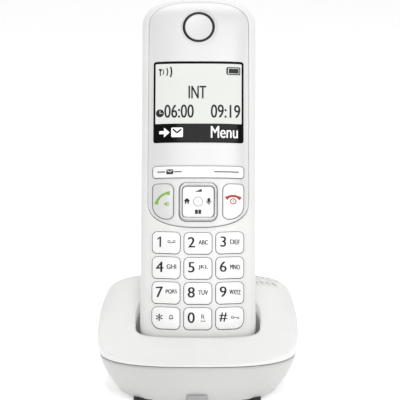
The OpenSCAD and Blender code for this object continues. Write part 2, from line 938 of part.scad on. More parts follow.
// ---- Upper panel ----
module faceplate() {
    docked()
        color([0.93, 0.93, 0.93])
            difference() {
                intersection() {
                    handset_body(0);
                    linear_extrude(big / 8)
                        hull()
                            polygon(plate_outline(0));
                }
                handset_body(faceplate_t);
                upper_holes(key_clear);
                face_hole(bezel_outline(), gap);
                face_hole(display_outline(), gap);
                on_face(ear_y)
                    hull() {
                        translate([0, 0, -5])
                            cylinder(h = 5.4, r = ear_r + gap / 2, $fn = 40);
                        translate([0, 0, 0.4])
                            cylinder(h = 1, r = ear_r + 0.4, $fn = 40);
                    }
                on_face(ear_y)
                    translate([0, 0, -0.12])
                        hull()
                            for (h = [0, 1])
                                translate([0, 0, h])
                                    cylinder(h = 0.1, r = ear_r + 0.8 + h, $fn = 40);
            }
}

module display_window() {
    docked()
        color([0.85, 0.9, 0.85])
            face_panel(display_outline(), faceplate_t);
}

// Opening under the window, and the display module that stands in it
function lcd_outline(clear) = moved(
    box_outline(display_w - 1.8 + 2 * clear, display_fit_h - 1.8 + 2 * clear, 0.6),
    [0, display_y]);
module lcd_panel() {
    docked()
        color([0.8, 0.85, 0.8])
            translate([0, 0, lcd_top - lcd_t])
                linear_extrude(lcd_t)
                    polygon(lcd_outline(0));
}
module light_guide() {
    docked()
        color("ivory")
            translate([-display_w / 2 + 2, display_y - display_fit_h / 2 + 2, board_z + board_t])
                cube([display_w - 4, display_fit_h - 4, lcd_top - lcd_t - gap - board_z - board_t]);
}

module earpiece_ring() {
    docked()
        on_face(ear_y)
            color([0.03, 0.03, 0.03])
                rotate_extrude($fn = 96)
                    polygon([[ear_r - ear_ring_w, -faceplate_t + gap], [ear_r, -faceplate_t + gap],
                        [ear_r, 0.05], [ear_r - 0.2, 0.2], [ear_r - ear_ring_w + 0.2, 0.2],
                        [ear_r - ear_ring_w, 0.05]]);
}
// Dished disc inside the ring
cap_r = ear_r - ear_ring_w - 0.05;
dish = 0.3;        // depth of the dish at its middle
module earpiece_cap() {
    docked()
        on_face(ear_y)
            color("white")
                rotate_extrude($fn = 96)
                    polygon(concat([[0, -faceplate_t + gap], [cap_r, -faceplate_t + gap]],
                        [for (k = [6:-1:0]) let (t = k / 6) [cap_r * t, dish * (t * t - 1)]]));
}
module earpiece_receiver() {
    docked()
        color([0.2, 0.2, 0.22])
            translate([0, ear_y, board_z + board_t])
                union() {
                    cylinder(h = 2.6, r = 5.5, $fn = 48);
                    translate([0, 0, 2.6])
                        cylinder(h = 1, r = 4.2, $fn = 48);
                }
}

// ---- Keys ----
pivot_z = 7;
pivot_r = 1.5;
module nav_bezel() {
    docked()
        color("silver")
            difference() {
                face_solid(bezel_outline(), key_rise + 0.3, crown_h - handset_wall - 1);
                face_hole(moved(box_outline(nav_side, nav_side + bezel_stretch, 1.7), [0, nav_y]),
                    nav_clear);
            }
}
module nav_pad() {
    docked()
        color("whitesmoke")
            difference() {
                face_solid(pad_outline(), key_rise + 0.15, pivot_z - 1);
                translate([0, nav_y, pivot_z])
                    sphere(r = pivot_r + 0.15, $fn = 48);
                translate([0, nav_y, pivot_z - 3])
                    cylinder(h = 2.6, r = pivot_r + 0.3, $fn = 48);
            }
}
// Ball-topped post that the pad rocks on
module nav_plunger() {
    docked()
        color("gainsboro")
            translate([0, nav_y, 0]) {
                translate([0, 0, mat_z])
                    cylinder(h = pivot_z - mat_z, r = pivot_r - 0.3, $fn = 32);
                translate([0, 0, pivot_z])
                    sphere(r = pivot_r, $fn = 48);
            }
}

function softkey_stems() = [for (s = [-1, 1]) [s * (softkey_w / 2 - 5), softkey_y]];
module softkey_bar() {
    docked()
        color("whitesmoke")
            key_solid(softkey_outline(), softkey_stems());
}
module talk_key() {
    docked()
        color("lightgray")
            key_solid(call_outline(-1), [[-call_x, call_y]]);
}
module end_key() {
    docked()
        color("whitesmoke")
            key_solid(call_outline(1), [[call_x, call_y]]);
}
module key_1() { number_key(0, 3); }
module key_2() { number_key(1, 3); }
module key_3() { number_key(2, 3); }
module key_4() { number_key(0, 2); }
module key_5() { number_key(1, 2); }
module key_6() { number_key(2, 2); }
module key_7() { number_key(0, 1); }
module key_8() { number_key(1, 1); }
module key_9() { number_key(2, 1); }
module key_star() { number_key(0, 0); }
module key_0() { number_key(1, 0); }
module key_hash() { number_key(2, 0); }

// Where a stem comes down on its dome
function dome_places() = concat(
    [for (col = [0:2], row = [0:3]) middle(number_outline(col, row))],
    [[-call_x, call_y], [call_x, call_y], [0, nav_y]],
    softkey_stems());

mat_half = softkey_w / 2 - 0.4;
module keymat() {
    docked()
        color([0.75, 0.75, 0.75])
            difference() {
                translate([-mat_half, first_row - key_h / 2, mat_z])
                    cube([2 * mat_half, softkey_y + softkey_h / 2 - first_row + key_h / 2, mat_t]);
                for (p = dome_places())
                    translate([p.x, p.y, 0])
                        cylinder(h = 10, r = stem_hole_r, $fn = 32);
            }
}
module key_domes() {
    docked()
        color("silver")
            for (p = dome_places())
                translate([p.x, p.y, board_z + board_t])
                    cylinder(h = dome_h, r = 2, $fn = 32);
}

// ---- Inside the handset ----
module handset_board() {
    docked()
        color("seagreen")
            difference() {
                translate([-half_w + 5, bottom_round - 3, board_z])
                    cube([handset_w - 10, handset_l - top_round - bottom_round + 8, board_t]);
                at_screws(-5)
                    cylinder(h = 10, r = boss_r + 0.3, $fn = 24);
            }
}
module shield_can() {
    docked()
        color("silver")
            difference() {
                translate([-11, tray_y1 + 3, board_z - 2.2])
                    cube([16, 12, 2.2]);
                translate([-10.7, tray_y1 + 3.3, board_z - 1.9])
                    cube([15.4, 11.4, 2]);
            }
}
module handset_antenna() {
    docked()
        color("silver")
            difference() {
                translate([9, handset_l - 26, board_z - 4])
                    cube([7, 14, 4]);
                translate([8, handset_l - 25.6, board_z - 3.6])
                    cube([9, 14, 4]);
            }
}
module microphone() {
    docked()
        color([0.3, 0.3, 0.3])
            translate([0, bottom_round + 1.5, board_z - 1.8])
                cylinder(h = 1.8, r = 2, $fn = 40);
}
module ringer_speaker() {
    docked()
        color([0.2, 0.2, 0.22])
            translate([-2, ringer_y, ringer_z]) {
                cylinder(h = 3, r = ringer_r, $fn = 64);
                translate([0, 0, 3])
                    cylinder(h = 2.5, r = 5, $fn = 48);
            }
}

// Two cells side by side, the second the other way round
module battery_cells() {
    docked()
        for (s = [-1, 1])
            translate([s * cell_x, cell_y0 + cell_l / 2, cell_z])
                rotate([s * 90, 0, 0]) {
                    color("mediumseagreen")
                        translate([0, 0, -cell_l / 2])
                            cylinder(h = cell_l, r = cell_d / 2, $fn = 64);
                    color("silver")
                        translate([0, 0, cell_l / 2])
                            cylinder(h = 0.9, r = 1.9, $fn = 32);
                }
}
// A bowed leaf at each end of each cell
contact_t = 0.3;
contact_in = 0.05;  // clear of the tray's end walls
module battery_contacts() {
    docked()
        color("silver")
            for (s = [-1, 1], e = [0, 1])
                translate([s * cell_x, e == 0 ? tray_y0 + contact_in : tray_y1 - contact_in, cell_z])
                    mirror([0, e, 0])
                        translate([-3, 0, -3]) {
                            cube([6, contact_t, 6]);
                            translate([1.5, 0, 2.4])
                                cube([3, 2, 1.2]);
                        }
}

module handset_charge_pads() {
    docked()
        color("silver")
            for (s = [-1, 1])
                translate([s * contact_x - pad_w / 2, pad_face, contact_z - pad_h / 2])
                    cube([pad_w, 1.6, pad_h]);
}
case_screw_l = 13;
module handset_screws() {
    docked()
        at_screws(ledge_z - 1.5)
            color("dimgray")
                screw(case_screw_r, case_screw_l, 1.8, 1.5);
}

base_upper_shell();
base_lower_shell();
base_board();
base_shield_can();
base_antenna();
base_feet();
base_screws();
power_jack();
line_jack();
charge_spring_left();
charge_spring_right();
paging_key();
paging_switch();
handset_front_shell();
handset_rear_shell();
faceplate();
display_window();
lcd_panel();
light_guide();
earpiece_ring();
earpiece_cap();
earpiece_receiver();
nav_bezel();
nav_pad();
nav_plunger();
softkey_bar();
talk_key();
end_key();
key_1();
key_2();
key_3();
key_4();
key_5();
key_6();
key_7();
key_8();
key_9();
key_star();
key_0();
key_hash();
keymat();
key_domes();
handset_board();
shield_can();
handset_antenna();
microphone();
ringer_speaker();
battery_cells();
battery_contacts();
battery_cover();
handset_charge_pads();
handset_screws();
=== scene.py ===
# Cordless telephone in its charging base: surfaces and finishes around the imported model.
# Shapes are worked out in millimetres and turned to metres when they become meshes.
import math
import bpy
import bmesh
import numpy as np
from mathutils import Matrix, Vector
from mathutils.geometry import delaunay_2d_cdt


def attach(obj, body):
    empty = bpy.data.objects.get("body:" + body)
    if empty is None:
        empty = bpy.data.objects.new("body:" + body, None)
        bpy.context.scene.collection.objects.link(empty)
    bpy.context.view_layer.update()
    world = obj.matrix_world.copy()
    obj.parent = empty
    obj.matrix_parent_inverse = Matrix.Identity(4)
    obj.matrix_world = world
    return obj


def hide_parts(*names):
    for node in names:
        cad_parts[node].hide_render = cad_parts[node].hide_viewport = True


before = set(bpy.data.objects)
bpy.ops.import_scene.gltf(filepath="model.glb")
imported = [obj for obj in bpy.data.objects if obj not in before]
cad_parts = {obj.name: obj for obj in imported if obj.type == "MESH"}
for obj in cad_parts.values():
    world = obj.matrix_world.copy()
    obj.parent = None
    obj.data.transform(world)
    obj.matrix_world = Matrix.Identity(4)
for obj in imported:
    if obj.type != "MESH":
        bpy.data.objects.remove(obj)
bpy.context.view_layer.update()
print("frame loaded")

mm = 0.001

# ---------- small tools for surfaces ----------

def bend(v, power):
    return np.sign(v) * np.abs(v) ** power


def closing(t, power):
    # falls from 1 at t = 0 to 0 at t = 1 along a superellipse
    return (1 - np.clip(t, 0, 1) ** power) ** (1 / power)


def smooth(a, b, v):
    t = np.clip((v - a) / (b - a), 0, 1)
    return t * t * (3 - 2 * t)


def rounded(corners, radii, steps=8):
    # polygon with arcs in place of its corners, anticlockwise
    corners = np.array(corners, float)
    out = []
    for k, p in enumerate(corners):
        a = corners[k - 1] - p
        b = corners[(k + 1) % len(corners)] - p
        a, b = a / np.linalg.norm(a), b / np.linalg.norm(b)
        half = math.acos(float(a @ b)) / 2
        centre = p + (a + b) / np.linalg.norm(a + b) * radii[k] / math.sin(half)
        start = p + a * radii[k] / math.tan(half) - centre
        angle = math.atan2(start[1], start[0]) + np.linspace(0, math.pi - 2 * half, steps + 1)
        out.append(centre + radii[k] * np.stack([np.cos(angle), np.sin(angle)], 1))
    return np.concatenate(out)


def boxOutline(w, h, r, centre=(0, 0)):
    corners = [(-w / 2, -h / 2), (w / 2, -h / 2), (w / 2, h / 2), (-w / 2, h / 2)]
    return rounded(corners, [r] * 4) + centre


def divided(loop, step):
    # the same closed line with its long edges cut into even steps
    ends = np.roll(loop, -1, 0)
    counts = np.maximum(1, np.ceil(np.linalg.norm(ends - loop, axis=1) / step)).astype(int)
    return np.concatenate([a + (b - a) * np.arange(n)[:, None] / n for a, b, n in zip(loop, ends, counts)])


def moveOut(loop, d):
    # closed anticlockwise line moved outwards by d along its own normals
    t = np.roll(loop, -1, 0) - np.roll(loop, 1, 0)
    t /= np.linalg.norm(t, axis=1)[:, None]
    return loop + d * np.stack([t[:, 1], -t[:, 0]], 1)


def inside(points, loop):
    # even-odd test of many points against one closed line
    x, y = points[:, 0][:, None], points[:, 1][:, None]
    a, b = loop, np.roll(loop, -1, 0)
    crosses = (a[:, 1] > y) != (b[:, 1] > y)
    rise = np.where(b[:, 1] == a[:, 1], 1e-12, b[:, 1] - a[:, 1])
    return ((crosses & (x < a[:, 0] + (y - a[:, 1]) * (b[:, 0] - a[:, 0]) / rise)).sum(1) % 2) == 1


def nearLoop(points, loop, reach):
    # True where a point lies within reach of any corner of the line
    near = np.zeros(len(points), bool)
    for start in range(0, len(points), 2000):
        d = points[start:start + 2000, None] - loop[None]
        near[start:start + 2000] = ((d ** 2).sum(2).min(1) < reach ** 2)
    return near


def sheet(outer, holes, step, extra=()):
    # flat triangulated sheet between an outer line and its holes, filled from a staggered grid;
    # every given corner stays in place, so rims join it exactly
    lo, hi = outer.min(0), outer.max(0)
    rows = np.arange(lo[1], hi[1], step * 0.866)
    cols = np.arange(lo[0], hi[0], step)
    x = cols[None] + (np.arange(len(rows)) % 2)[:, None] * step / 2
    grid = np.stack([x, np.broadcast_to(rows[:, None], x.shape)], 2).reshape(-1, 2)
    keep = inside(grid, outer) & ~nearLoop(grid, outer, step * 0.6)
    for hole in list(holes) + list(extra):
        keep &= ~nearLoop(grid, hole, step * 0.6)
    for hole in holes:
        keep &= ~inside(grid, hole)
    loops = [outer] + list(holes) + list(extra)
    points = np.concatenate(loops + [grid[keep]])
    edges, start = [], 0
    for loop in loops:
        n = len(loop)
        edges += [(start + i, start + (i + 1) % n) for i in range(n)]
        start += n
    verts, _, faces, *_ = delaunay_2d_cdt([Vector(p) for p in points], edges, [], 0, 1e-5)
    verts = np.array([(v.x, v.y) for v in verts])
    faces = np.array(faces)
    middles = verts[faces].mean(1)
    good = inside(middles, outer)
    for hole in holes:
        good &= ~inside(middles, hole)
    return verts, faces[good]


def grid(rings, around=True):
    # quads over an array of rings with equal counts, closed round each ring or open
    rings = np.asarray(rings, float)
    m, n = rings.shape[:2]
    index = np.arange(m * n).reshape(m, n)
    after = np.roll(index, -1, 1) if around else index[:, 1:]
    before = index if around else index[:, :-1]
    faces = np.stack([before[:-1], after[:-1], after[1:], before[1:]], 2).reshape(-1, 4)
    return rings.reshape(-1, 3), faces


def lifted(flat, height):
    return np.column_stack([flat, height(flat[:, 0], flat[:, 1])])


def holeRim(loop, height, fillet, depth, steps=4):
    # rings that round over the edge of a hole and run down its wall
    rings = []
    for a in np.linspace(0, math.pi / 2, steps + 1):
        out = moveOut(loop, fillet * (1 - math.sin(a)))
        rings.append(lifted(out, height) - [0, 0, fillet * (1 - math.cos(a))])
    rings.append(lifted(loop, height) - [0, 0, depth])
    return rings


def capTop(loop, height, fillet, depth, steps=5, inner=7):
    # crowned solid top: inner rings shrink to the middle, the edge rounds over, the wall runs down
    middle = loop.mean(0)
    inset = moveOut(loop, -fillet)
    rings = [lifted(middle + (inset - middle) * f, height) for f in np.linspace(0, 1, inner + 1)]
    for a in np.linspace(0, math.pi / 2, steps + 1)[1:]:
        out = moveOut(loop, -fillet * (1 - math.sin(a)))
        rings.append(lifted(out, height) - [0, 0, fillet * (1 - math.cos(a))])
    rings.append(lifted(loop, height) - [0, 0, depth])
    rings.append(lifted(middle + (loop - middle) * 0.001, height) - [0, 0, depth])
    return grid(rings)


def prism(flat, faces, top, bottom):
    # thin solid over a flat mesh: its top and bottom follow two height functions
    n = len(flat)
    faces = np.asarray(faces)
    one, two = flat[faces[:, 1]] - flat[faces[:, 0]], flat[faces[:, 2]] - flat[faces[:, 0]]
    area = one[:, 0] * two[:, 1] - one[:, 1] * two[:, 0]
    faces = np.where((area < 0)[:, None], faces[:, ::-1], faces)
    a, b = faces.reshape(-1), np.roll(faces, -1, 1).reshape(-1)
    key, back = a * n + b, b * n + a
    rim = ~np.isin(key, back)
    walls = np.stack([a[rim], a[rim] + n, b[rim] + n, b[rim]], 1)
    verts = np.concatenate([lifted(flat, top), lifted(flat, bottom)])
    return verts, [*faces.tolist(), *(faces[:, ::-1] + n).tolist(), *walls.tolist()]


def joined(*parts):
    # several (points, faces) pairs as one
    verts, faces, start = [], [], 0
    for v, f in parts:
        verts.append(v)
        faces += [[i + start for i in face] for face in (f.tolist() if hasattr(f, "tolist") else f)]
        start += len(v)
    return np.concatenate(verts), faces


def piece(name, part, material, body, slot, replaces=(), outwards=None, thickness=0, place=None, zones=None):
    # mesh object from points in millimetres: doubles merged, faces turned outwards, smooth shaded
    verts, faces = part
    verts = (place(verts) if place else verts) * mm
    mesh = bpy.data.meshes.new(name)
    mesh.from_pydata(verts.tolist(), [], faces.tolist() if hasattr(faces, "tolist") else faces)
    materials = material if isinstance(material, (list, tuple)) else [material]
    for m in materials:
        mesh.materials.append(m)
    if zones is not None:
        mesh.polygons.foreach_set("material_index", np.asarray(zones, np.int32))
    bm = bmesh.new()
    bm.from_mesh(mesh)
    bmesh.ops.remove_doubles(bm, verts=bm.verts, dist=2e-6)
    bmesh.ops.dissolve_degenerate(bm, edges=bm.edges, dist=1e-7)
    bmesh.ops.recalc_face_normals(bm, faces=bm.faces)
    if outwards is not None:
        centre = Vector(outwards) * mm
        lean = sum(f.calc_area() * f.normal.dot(f.calc_center_median() - centre) for f in bm.faces)
        if lean < 0:
            bmesh.ops.reverse_faces(bm, faces=bm.faces)
    for f in bm.faces:
        f.smooth = True
    bm.to_mesh(mesh)
    bm.free()
    obj = bpy.data.objects.new(name, mesh)
    bpy.context.scene.collection.objects.link(obj)
    if thickness:
        wall = obj.modifiers.new("wall", "SOLIDIFY")
        wall.thickness = thickness * mm
        wall.offset = -1
    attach(obj, body)
    if replaces:
        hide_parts(*replaces)
    return obj


# ---------- finishes ----------

def linear(hexColour):
    # sRGB hex value as linear red, green, blue and alpha
    c = np.array([int(hexColour[i:i + 2], 16) for i in (1, 3, 5)]) / 255
    c = np.where(c <= 0.04045, c / 12.92, ((c + 0.055) / 1.055) ** 2.4)
    return (*c.tolist(), 1.0)


def addNode(material, kind, settings=None, links=None):
    # adds one node, sets its sockets and joins {socket: (node, output)}
    node = material.node_tree.nodes.new(kind)
    for key, value in (settings or {}).items():
        node.inputs[key].default_value = value
    for key, (source, output) in (links or {}).items():
        material.node_tree.links.new(source.outputs[output], node.inputs[key])
    return node


def finish(name, shader, colours, mottle, roughness, bump, stretch=(1, 1, 1)):
    # colours: two hex values that a soft noise mixes; mottle: blotches per metre; bump: grains per metre,
    # strength and height in metres
    material = bpy.data.materials.new(name)
    material.use_nodes = True
    tree = material.node_tree
    tree.nodes.clear()
    place = addNode(material, "ShaderNodeTexCoord")
    turn = addNode(material, "ShaderNodeMapping", {"Scale": stretch}, {"Vector": (place, "Object")})
    cloud = addNode(material, "ShaderNodeTexNoise", {"Scale": mottle, "Detail": 3, "Roughness": 0.5},
                    {"Vector": (turn, "Vector")})
    grain = addNode(material, "ShaderNodeTexNoise", {"Scale": bump[0], "Detail": 2, "Roughness": 0.55},
                    {"Vector": (turn, "Vector")})
    tint = addNode(material, "ShaderNodeValToRGB", None, {"Fac": (cloud, "Fac")})
    tint.color_ramp.elements[0].position = 0.35
    tint.color_ramp.elements[1].position = 0.65
    tint.color_ramp.elements[0].color = linear(colours[0])
    tint.color_ramp.elements[1].color = linear(colours[1])
    rough = addNode(material, "ShaderNodeMapRange", {"From Min": 0.3, "From Max": 0.7, "To Min": roughness[0],
                    "To Max": roughness[1]}, {"Value": (grain, "Fac")})
    relief = addNode(material, "ShaderNodeBump", {"Strength": bump[1], "Distance": bump[2]},
                     {"Height": (grain, "Fac")})
    surface = addNode(material, "ShaderNodeBsdfPrincipled", shader, {"Base Color": (tint, "Color"),
                      "Roughness": (rough, "Result"), "Normal": (relief, "Normal")})
    addNode(material, "ShaderNodeOutputMaterial", None, {"Surface": (surface, "BSDF")})
    return material


def printingInk(name, low, high):
    # screen printing ink: thin, slightly duller than the plastic under it
    return finish(name, {"IOR": 1.5}, (low, high), 400, (0.4, 0.55), (4000, 0.05, 0.00001))


# moulded ABS, polished tool: soft gloss with a faint orange peel about 1 mm across
shellAbs = finish("mouldedWhiteAbs", {"IOR": 1.54, "Coat Weight": 0.15, "Coat Roughness": 0.25},
                  ("#e9e9e8", "#ededec"), 40, (0.34, 0.42), (900, 0.06, 0.00004))
# the same ABS under a clear lacquer: sharper reflections; its colour is set darker than the shell's as
# painted shade, for the faceplate's darker look
shadedPlateAbs = finish("lacqueredAbsPaintedShade",
                  {"IOR": 1.54, "Coat Weight": 1.0, "Coat Roughness": 0.3, "Coat IOR": 1.6},
                  ("#dcdcdc", "#dfdfdf"), 40, (0.36, 0.4), (250, 0.02, 0.00002))
# base housing, ABS from a finely eroded tool: a touch duller than the handset
baseAbs = finish("erodedWhiteAbs", {"IOR": 1.54, "Coat Weight": 0.1, "Coat Roughness": 0.3},
                 ("#e8e8e7", "#ececeb"), 35, (0.38, 0.46), (1400, 0.08, 0.00003))
# the same eroded ABS set grey for the lower housing: painted shade, for the part that curves under towards
# the floor
shadedLowerAbs = finish("erodedAbsPaintedShade", {"IOR": 1.54, "Coat Weight": 0.1, "Coat Roughness": 0.3},
                  ("#c8c8c7", "#cccccb"), 35, (0.4, 0.48), (1400, 0.08, 0.00003))
# key caps, ABS with a satin lacquer
keyAbs = finish("satinKeyAbs", {"IOR": 1.54, "Coat Weight": 0.3, "Coat Roughness": 0.2},
                ("#f5f5f4", "#f9f9f9"), 90, (0.3, 0.4), (1500, 0.05, 0.00002))
talkAbs = finish("greySatinKeyAbs", {"IOR": 1.54, "Coat Weight": 0.3, "Coat Roughness": 0.2},
                 ("#d6d7d6", "#dcdddc"), 90, (0.3, 0.4), (1500, 0.05, 0.00002))
# dark grey on each key cap's wall below its rounded edge: painted shade for the gap round the key
gapShadeGrey = finish("paintedGapShade", {"IOR": 1.45}, ("#3a3a3c", "#434345"), 200, (0.55, 0.65),
                   (2000, 0.1, 0.00002))
blackInk = printingInk("blackPrintingInk", "#0e0e10", "#151517")
greyInk = printingInk("greyPrintingInk", "#5a5a5c", "#646466")
greenInk = printingInk("greenPrintingInk", "#7fae3a", "#8ab844")
redInk = printingInk("redPrintingInk", "#b02c30", "#bb363a")
# white marks on the black bar, lit from behind
whiteInk = finish("whitePrintingInk",
                  {"IOR": 1.5, "Emission Color": linear("#ffffff"), "Emission Strength": 0.25},
                  ("#f4f4f4", "#fafafa"), 400, (0.4, 0.5), (4000, 0.03, 0.00001))
# window: clear acrylic with an anti-glare face over a black printed border
windowBlack = finish("blackBackedAcrylic", {"IOR": 1.49, "Specular IOR Level": 0.12},
                     ("#08080a", "#0c0c0e"), 60, (0.1, 0.14), (300, 0.01, 0.00002))
# liquid-crystal panel seen through the acrylic: pale grey green, lit from behind
lcdGlass = finish("litLcdUnderAcrylic", {"IOR": 1.49, "Specular IOR Level": 0.2,
                  "Emission Color": linear("#eef0ec"), "Emission Strength": 0.12},
                  ("#d6d9d4", "#dadcd8"), 25, (0.35, 0.42), (2500, 0.02, 0.00001))
# satin chromium plate on the pad's bezel
bezelMetal = finish("satinChromePlate", {"Metallic": 1.0}, ("#b8b9bb", "#c4c5c7"), 120, (0.34, 0.4),
                    (1500, 0.02, 0.00001))
blackGloss = finish("polishedBlackAbs", {"IOR": 1.54, "Specular IOR Level": 0.35},
                    ("#050505", "#0a0a0a"), 60, (0.3, 0.38), (900, 0.03, 0.00002))
footRubber = finish("mouldedRubber", {"IOR": 1.5}, ("#151515", "#1e1e1e"), 200, (0.6, 0.75),
                    (2500, 0.3, 0.00005))
# hidden and small metal pieces
goldSpring = finish("goldFlashedBronze", {"Metallic": 1.0}, ("#c9a24e", "#dcb866"), 300, (0.2, 0.3),
                    (4000, 0.1, 0.00001), (1, 1, 6))
nickel = finish("nickelPlatedSteel", {"Metallic": 1.0}, ("#b9b6ae", "#c9c7c1"), 300, (0.22, 0.34),
                (4000, 0.1, 0.00001))
zinc = finish("zincPlatedScrew", {"Metallic": 1.0}, ("#77787a", "#8e9092"), 300, (0.3, 0.42),
              (3000, 0.15, 0.00001))
jackBlack = finish("mouldedBlackPolyamide", {"IOR": 1.53}, ("#121213", "#19191a"), 200, (0.5, 0.6),
                   (2000, 0.15, 0.00002))
jackGrey = finish("mouldedGreyPolyamide", {"IOR": 1.53}, ("#3a3a3c", "#434345"), 200, (0.5, 0.6),
                  (2000, 0.15, 0.00002))
pagingGrey = finish("mouldedGreyAbs", {"IOR": 1.54}, ("#a3a3a3", "#adadad"), 120, (0.4, 0.5),
                    (1800, 0.12, 0.00002))
boardGreen = finish("solderMask", {"IOR": 1.5, "Coat Weight": 0.3}, ("#14502c", "#1d6238"), 250, (0.3, 0.4),
                    (1500, 0.1, 0.00002))
siliconeGrey = finish("mouldedSilicone", {"IOR": 1.41, "Subsurface Weight": 0.1}, ("#b0b0b0", "#bcbcbc"), 120,
                      (0.5, 0.6), (1800, 0.1, 0.00002))
guideAcrylic = finish("frostedAcrylic", {"IOR": 1.49}, ("#dfe4df", "#e8ece8"), 60, (0.3, 0.4),
                      (2500, 0.1, 0.00001))
cellSleeve = finish("shrinkSleeve", {"IOR": 1.5}, ("#2c6b3e", "#347a48"), 60, (0.25, 0.35),
                    (800, 0.05, 0.00002))
moduleBlack = finish("darkPressedSteel", {"IOR": 1.5}, ("#2a2a2d", "#343438"), 200, (0.4, 0.5),
                     (1500, 0.1, 0.00002))
floorPaint = finish("paleStudioPaper",
                    {"IOR": 1.4, "Emission Color": linear("#ffffff"), "Emission Strength": 0.36},
                    ("#f6f6f6", "#f8f8f8"), 4, (0.7, 0.8), (200, 0.02, 0.0001))
print("finishes ready")

# ---------- the handset's form, in its own frame: x across, y up its length, z out of the face ----------

handset = dict(length=156, halfWidth=24.5, crown=9, back=15, power=3.2, topRound=13, topPower=2.7,
               bottomRound=12, bottomPower=2.6, bandWidth=2.78, plateGap=0.32, shiftY=-6.49287,
               dockY=-8.6953, dockZ=13.8815, lean=22)


def closedIn(y):
    # 1 along the middle, falling to 0 at both rounded ends
    h = handset
    top = closing((y - h["length"] + h["topRound"]) / h["topRound"], h["topPower"])
    return np.maximum(1e-9, top * closing((h["bottomRound"] - y) / h["bottomRound"], h["bottomPower"]))


def crownHeight(y):
    return (handset["crown"] - 0.0012 * np.maximum(0, y - handset["length"] + 46) ** 2
            - 0.001 * np.maximum(0, 30 - y) ** 2)


def backDepth(y):
    return handset["back"] - 3 * ((y - 70) / 85) ** 2


def faceHeight(x, y):
    # superelliptic section, closed in along the ends
    e = closedIn(y)
    return crownHeight(y) * e * closing(np.abs(x) / (handset["halfWidth"] * e), handset["power"])


def backHeight(x, y):
    e = closedIn(y)
    return -backDepth(y) * e * closing(np.abs(x) / (handset["halfWidth"] * e), handset["power"])


leanSin, leanCos = math.sin(math.radians(handset["lean"])), math.cos(math.radians(handset["lean"]))


def docked(p):
    # from the handset's frame to the frame of the whole object
    h = handset
    return np.column_stack([p[:, 0], h["shiftY"] + h["dockY"] + leanSin * p[:, 1] - leanCos * p[:, 2],
                            h["dockZ"] + leanCos * p[:, 1] + leanSin * p[:, 2]])


# points that the handset's shells and its face look away from
handsetHeart, belowFace = docked(np.array([[0, handset["length"] / 2, 0], [0, 100, -40.0]]))


def roundedPlan(half, bottom, top, bottomRound, topRound, bottomPower, topPower, ends=56, sides=96):
    # closed plan line with superelliptic ends, anticlockwise from the middle of the lower end
    a = np.linspace(0, math.pi / 2, ends + 1)
    lowX = half * np.sin(a) ** (2 / bottomPower)
    lowY = bottom + bottomRound * (1 - np.cos(a) ** (2 / bottomPower))
    b = np.linspace(math.pi / 2, 0, ends + 1)
    upX = half * np.sin(b) ** (2 / topPower)
    upY = top - topRound * (1 - np.cos(b) ** (2 / topPower))
    sideY = np.linspace(bottom + bottomRound, top - topRound, sides + 1)[1:-1]
    rightX = np.concatenate([lowX, np.full(sides - 1, half), upX])
    right = np.column_stack([rightX, np.concatenate([lowY, sideY, upY])])
    left = right[1:-1][::-1] * [-1, 1]
    return np.concatenate([right, left])


outerPlan = roundedPlan(handset["halfWidth"], 0, handset["length"], handset["bottomRound"],
                        handset["topRound"], handset["bottomPower"], handset["topPower"])
plate = dict(half=21.4, low=65.51, high=142, round=12, lowPower=2.5, highPower=2.6)
plateOpening = handset["halfWidth"] - handset["bandWidth"]
innerPlan = roundedPlan(plateOpening, bottom=3.2, top=plate["high"] + plate["round"] + handset["plateGap"],
                        bottomRound=12.3, topRound=plate["round"] + handset["plateGap"],
                        bottomPower=plate["lowPower"], topPower=plate["highPower"])


def sideStrip(inner, height, sign, steps=20, seam=0.16, inset=0.22):
    # from the parting line up to an inner plan line; rows crowd towards the steep edge,
    # and the first two make the small step that shows as the seam
    rings = [np.column_stack([outerPlan + (inner - outerPlan) * 0.07, np.full(len(inner), sign * 0.03)]),
             np.column_stack([outerPlan + (inner - outerPlan) * 0.012, np.full(len(inner), sign * seam)])]
    for t in np.linspace(0, 1, steps + 1)[1:]:
        plan = outerPlan + (inner - outerPlan) * t ** 2.6
        z = height(plan[:, 0], plan[:, 1])
        rings.append(np.column_stack([plan, np.where(np.abs(z) < seam + 0.05, sign * (seam + 0.05), z)]))
    return rings


# ---------- layout of the face ----------

keys = dict(margin=5.2, gap=1.75, height=9.2, pitch=10.82, firstRow=14.3, slant=0.7, rise=0.5, clear=0.22,
            round=1.95, outerRound=4, softkeyHeight=5, navSide=13.3, bezelWidth=1, navClear=0.4, bulge=0.3)
lineStep = 0.7
keyWidth = (2 * handset["halfWidth"] - 2 * keys["margin"] - 2 * keys["gap"]) / 3
column = keyWidth + keys["gap"]
navY, callX, callY, softkeyY = 64.41, 14.925, 64.71, 77.51
displayY, displayWidth, displayHeight, earY, earRadius = 108.46, 38.4, 35.9, 142.1, 6.9


def numberOutline(col, row):
    s = keys["slant"] / 2
    l, r = (s if col == 0 else -s), (s if col == 2 else -s)
    w, h = keyWidth / 2, keys["height"] / 2
    radii = [keys["outerRound"] if col == 0 and row == 0 else keys["round"],
             keys["outerRound"] if col == 2 and row == 0 else keys["round"], keys["round"], keys["round"]]
    loop = rounded([(-w, -h + l), (w, -h + r), (w, h + r), (-w, h + l)], radii)
    return divided(loop + [(col - 1) * column, keys["firstRow"] + row * keys["pitch"]], lineStep)


def callOutline(side):
    w, h = (keyWidth - 2.95) / 2, 7.6
    radii = [6.1, 2.2, 2.8, 1.5] if side < 0 else [2.2, 6.1, 1.5, 2.8]
    return divided(rounded([(-w, -h), (w, -h), (w, h), (-w, h)], radii) + [side * callX, callY], lineStep)


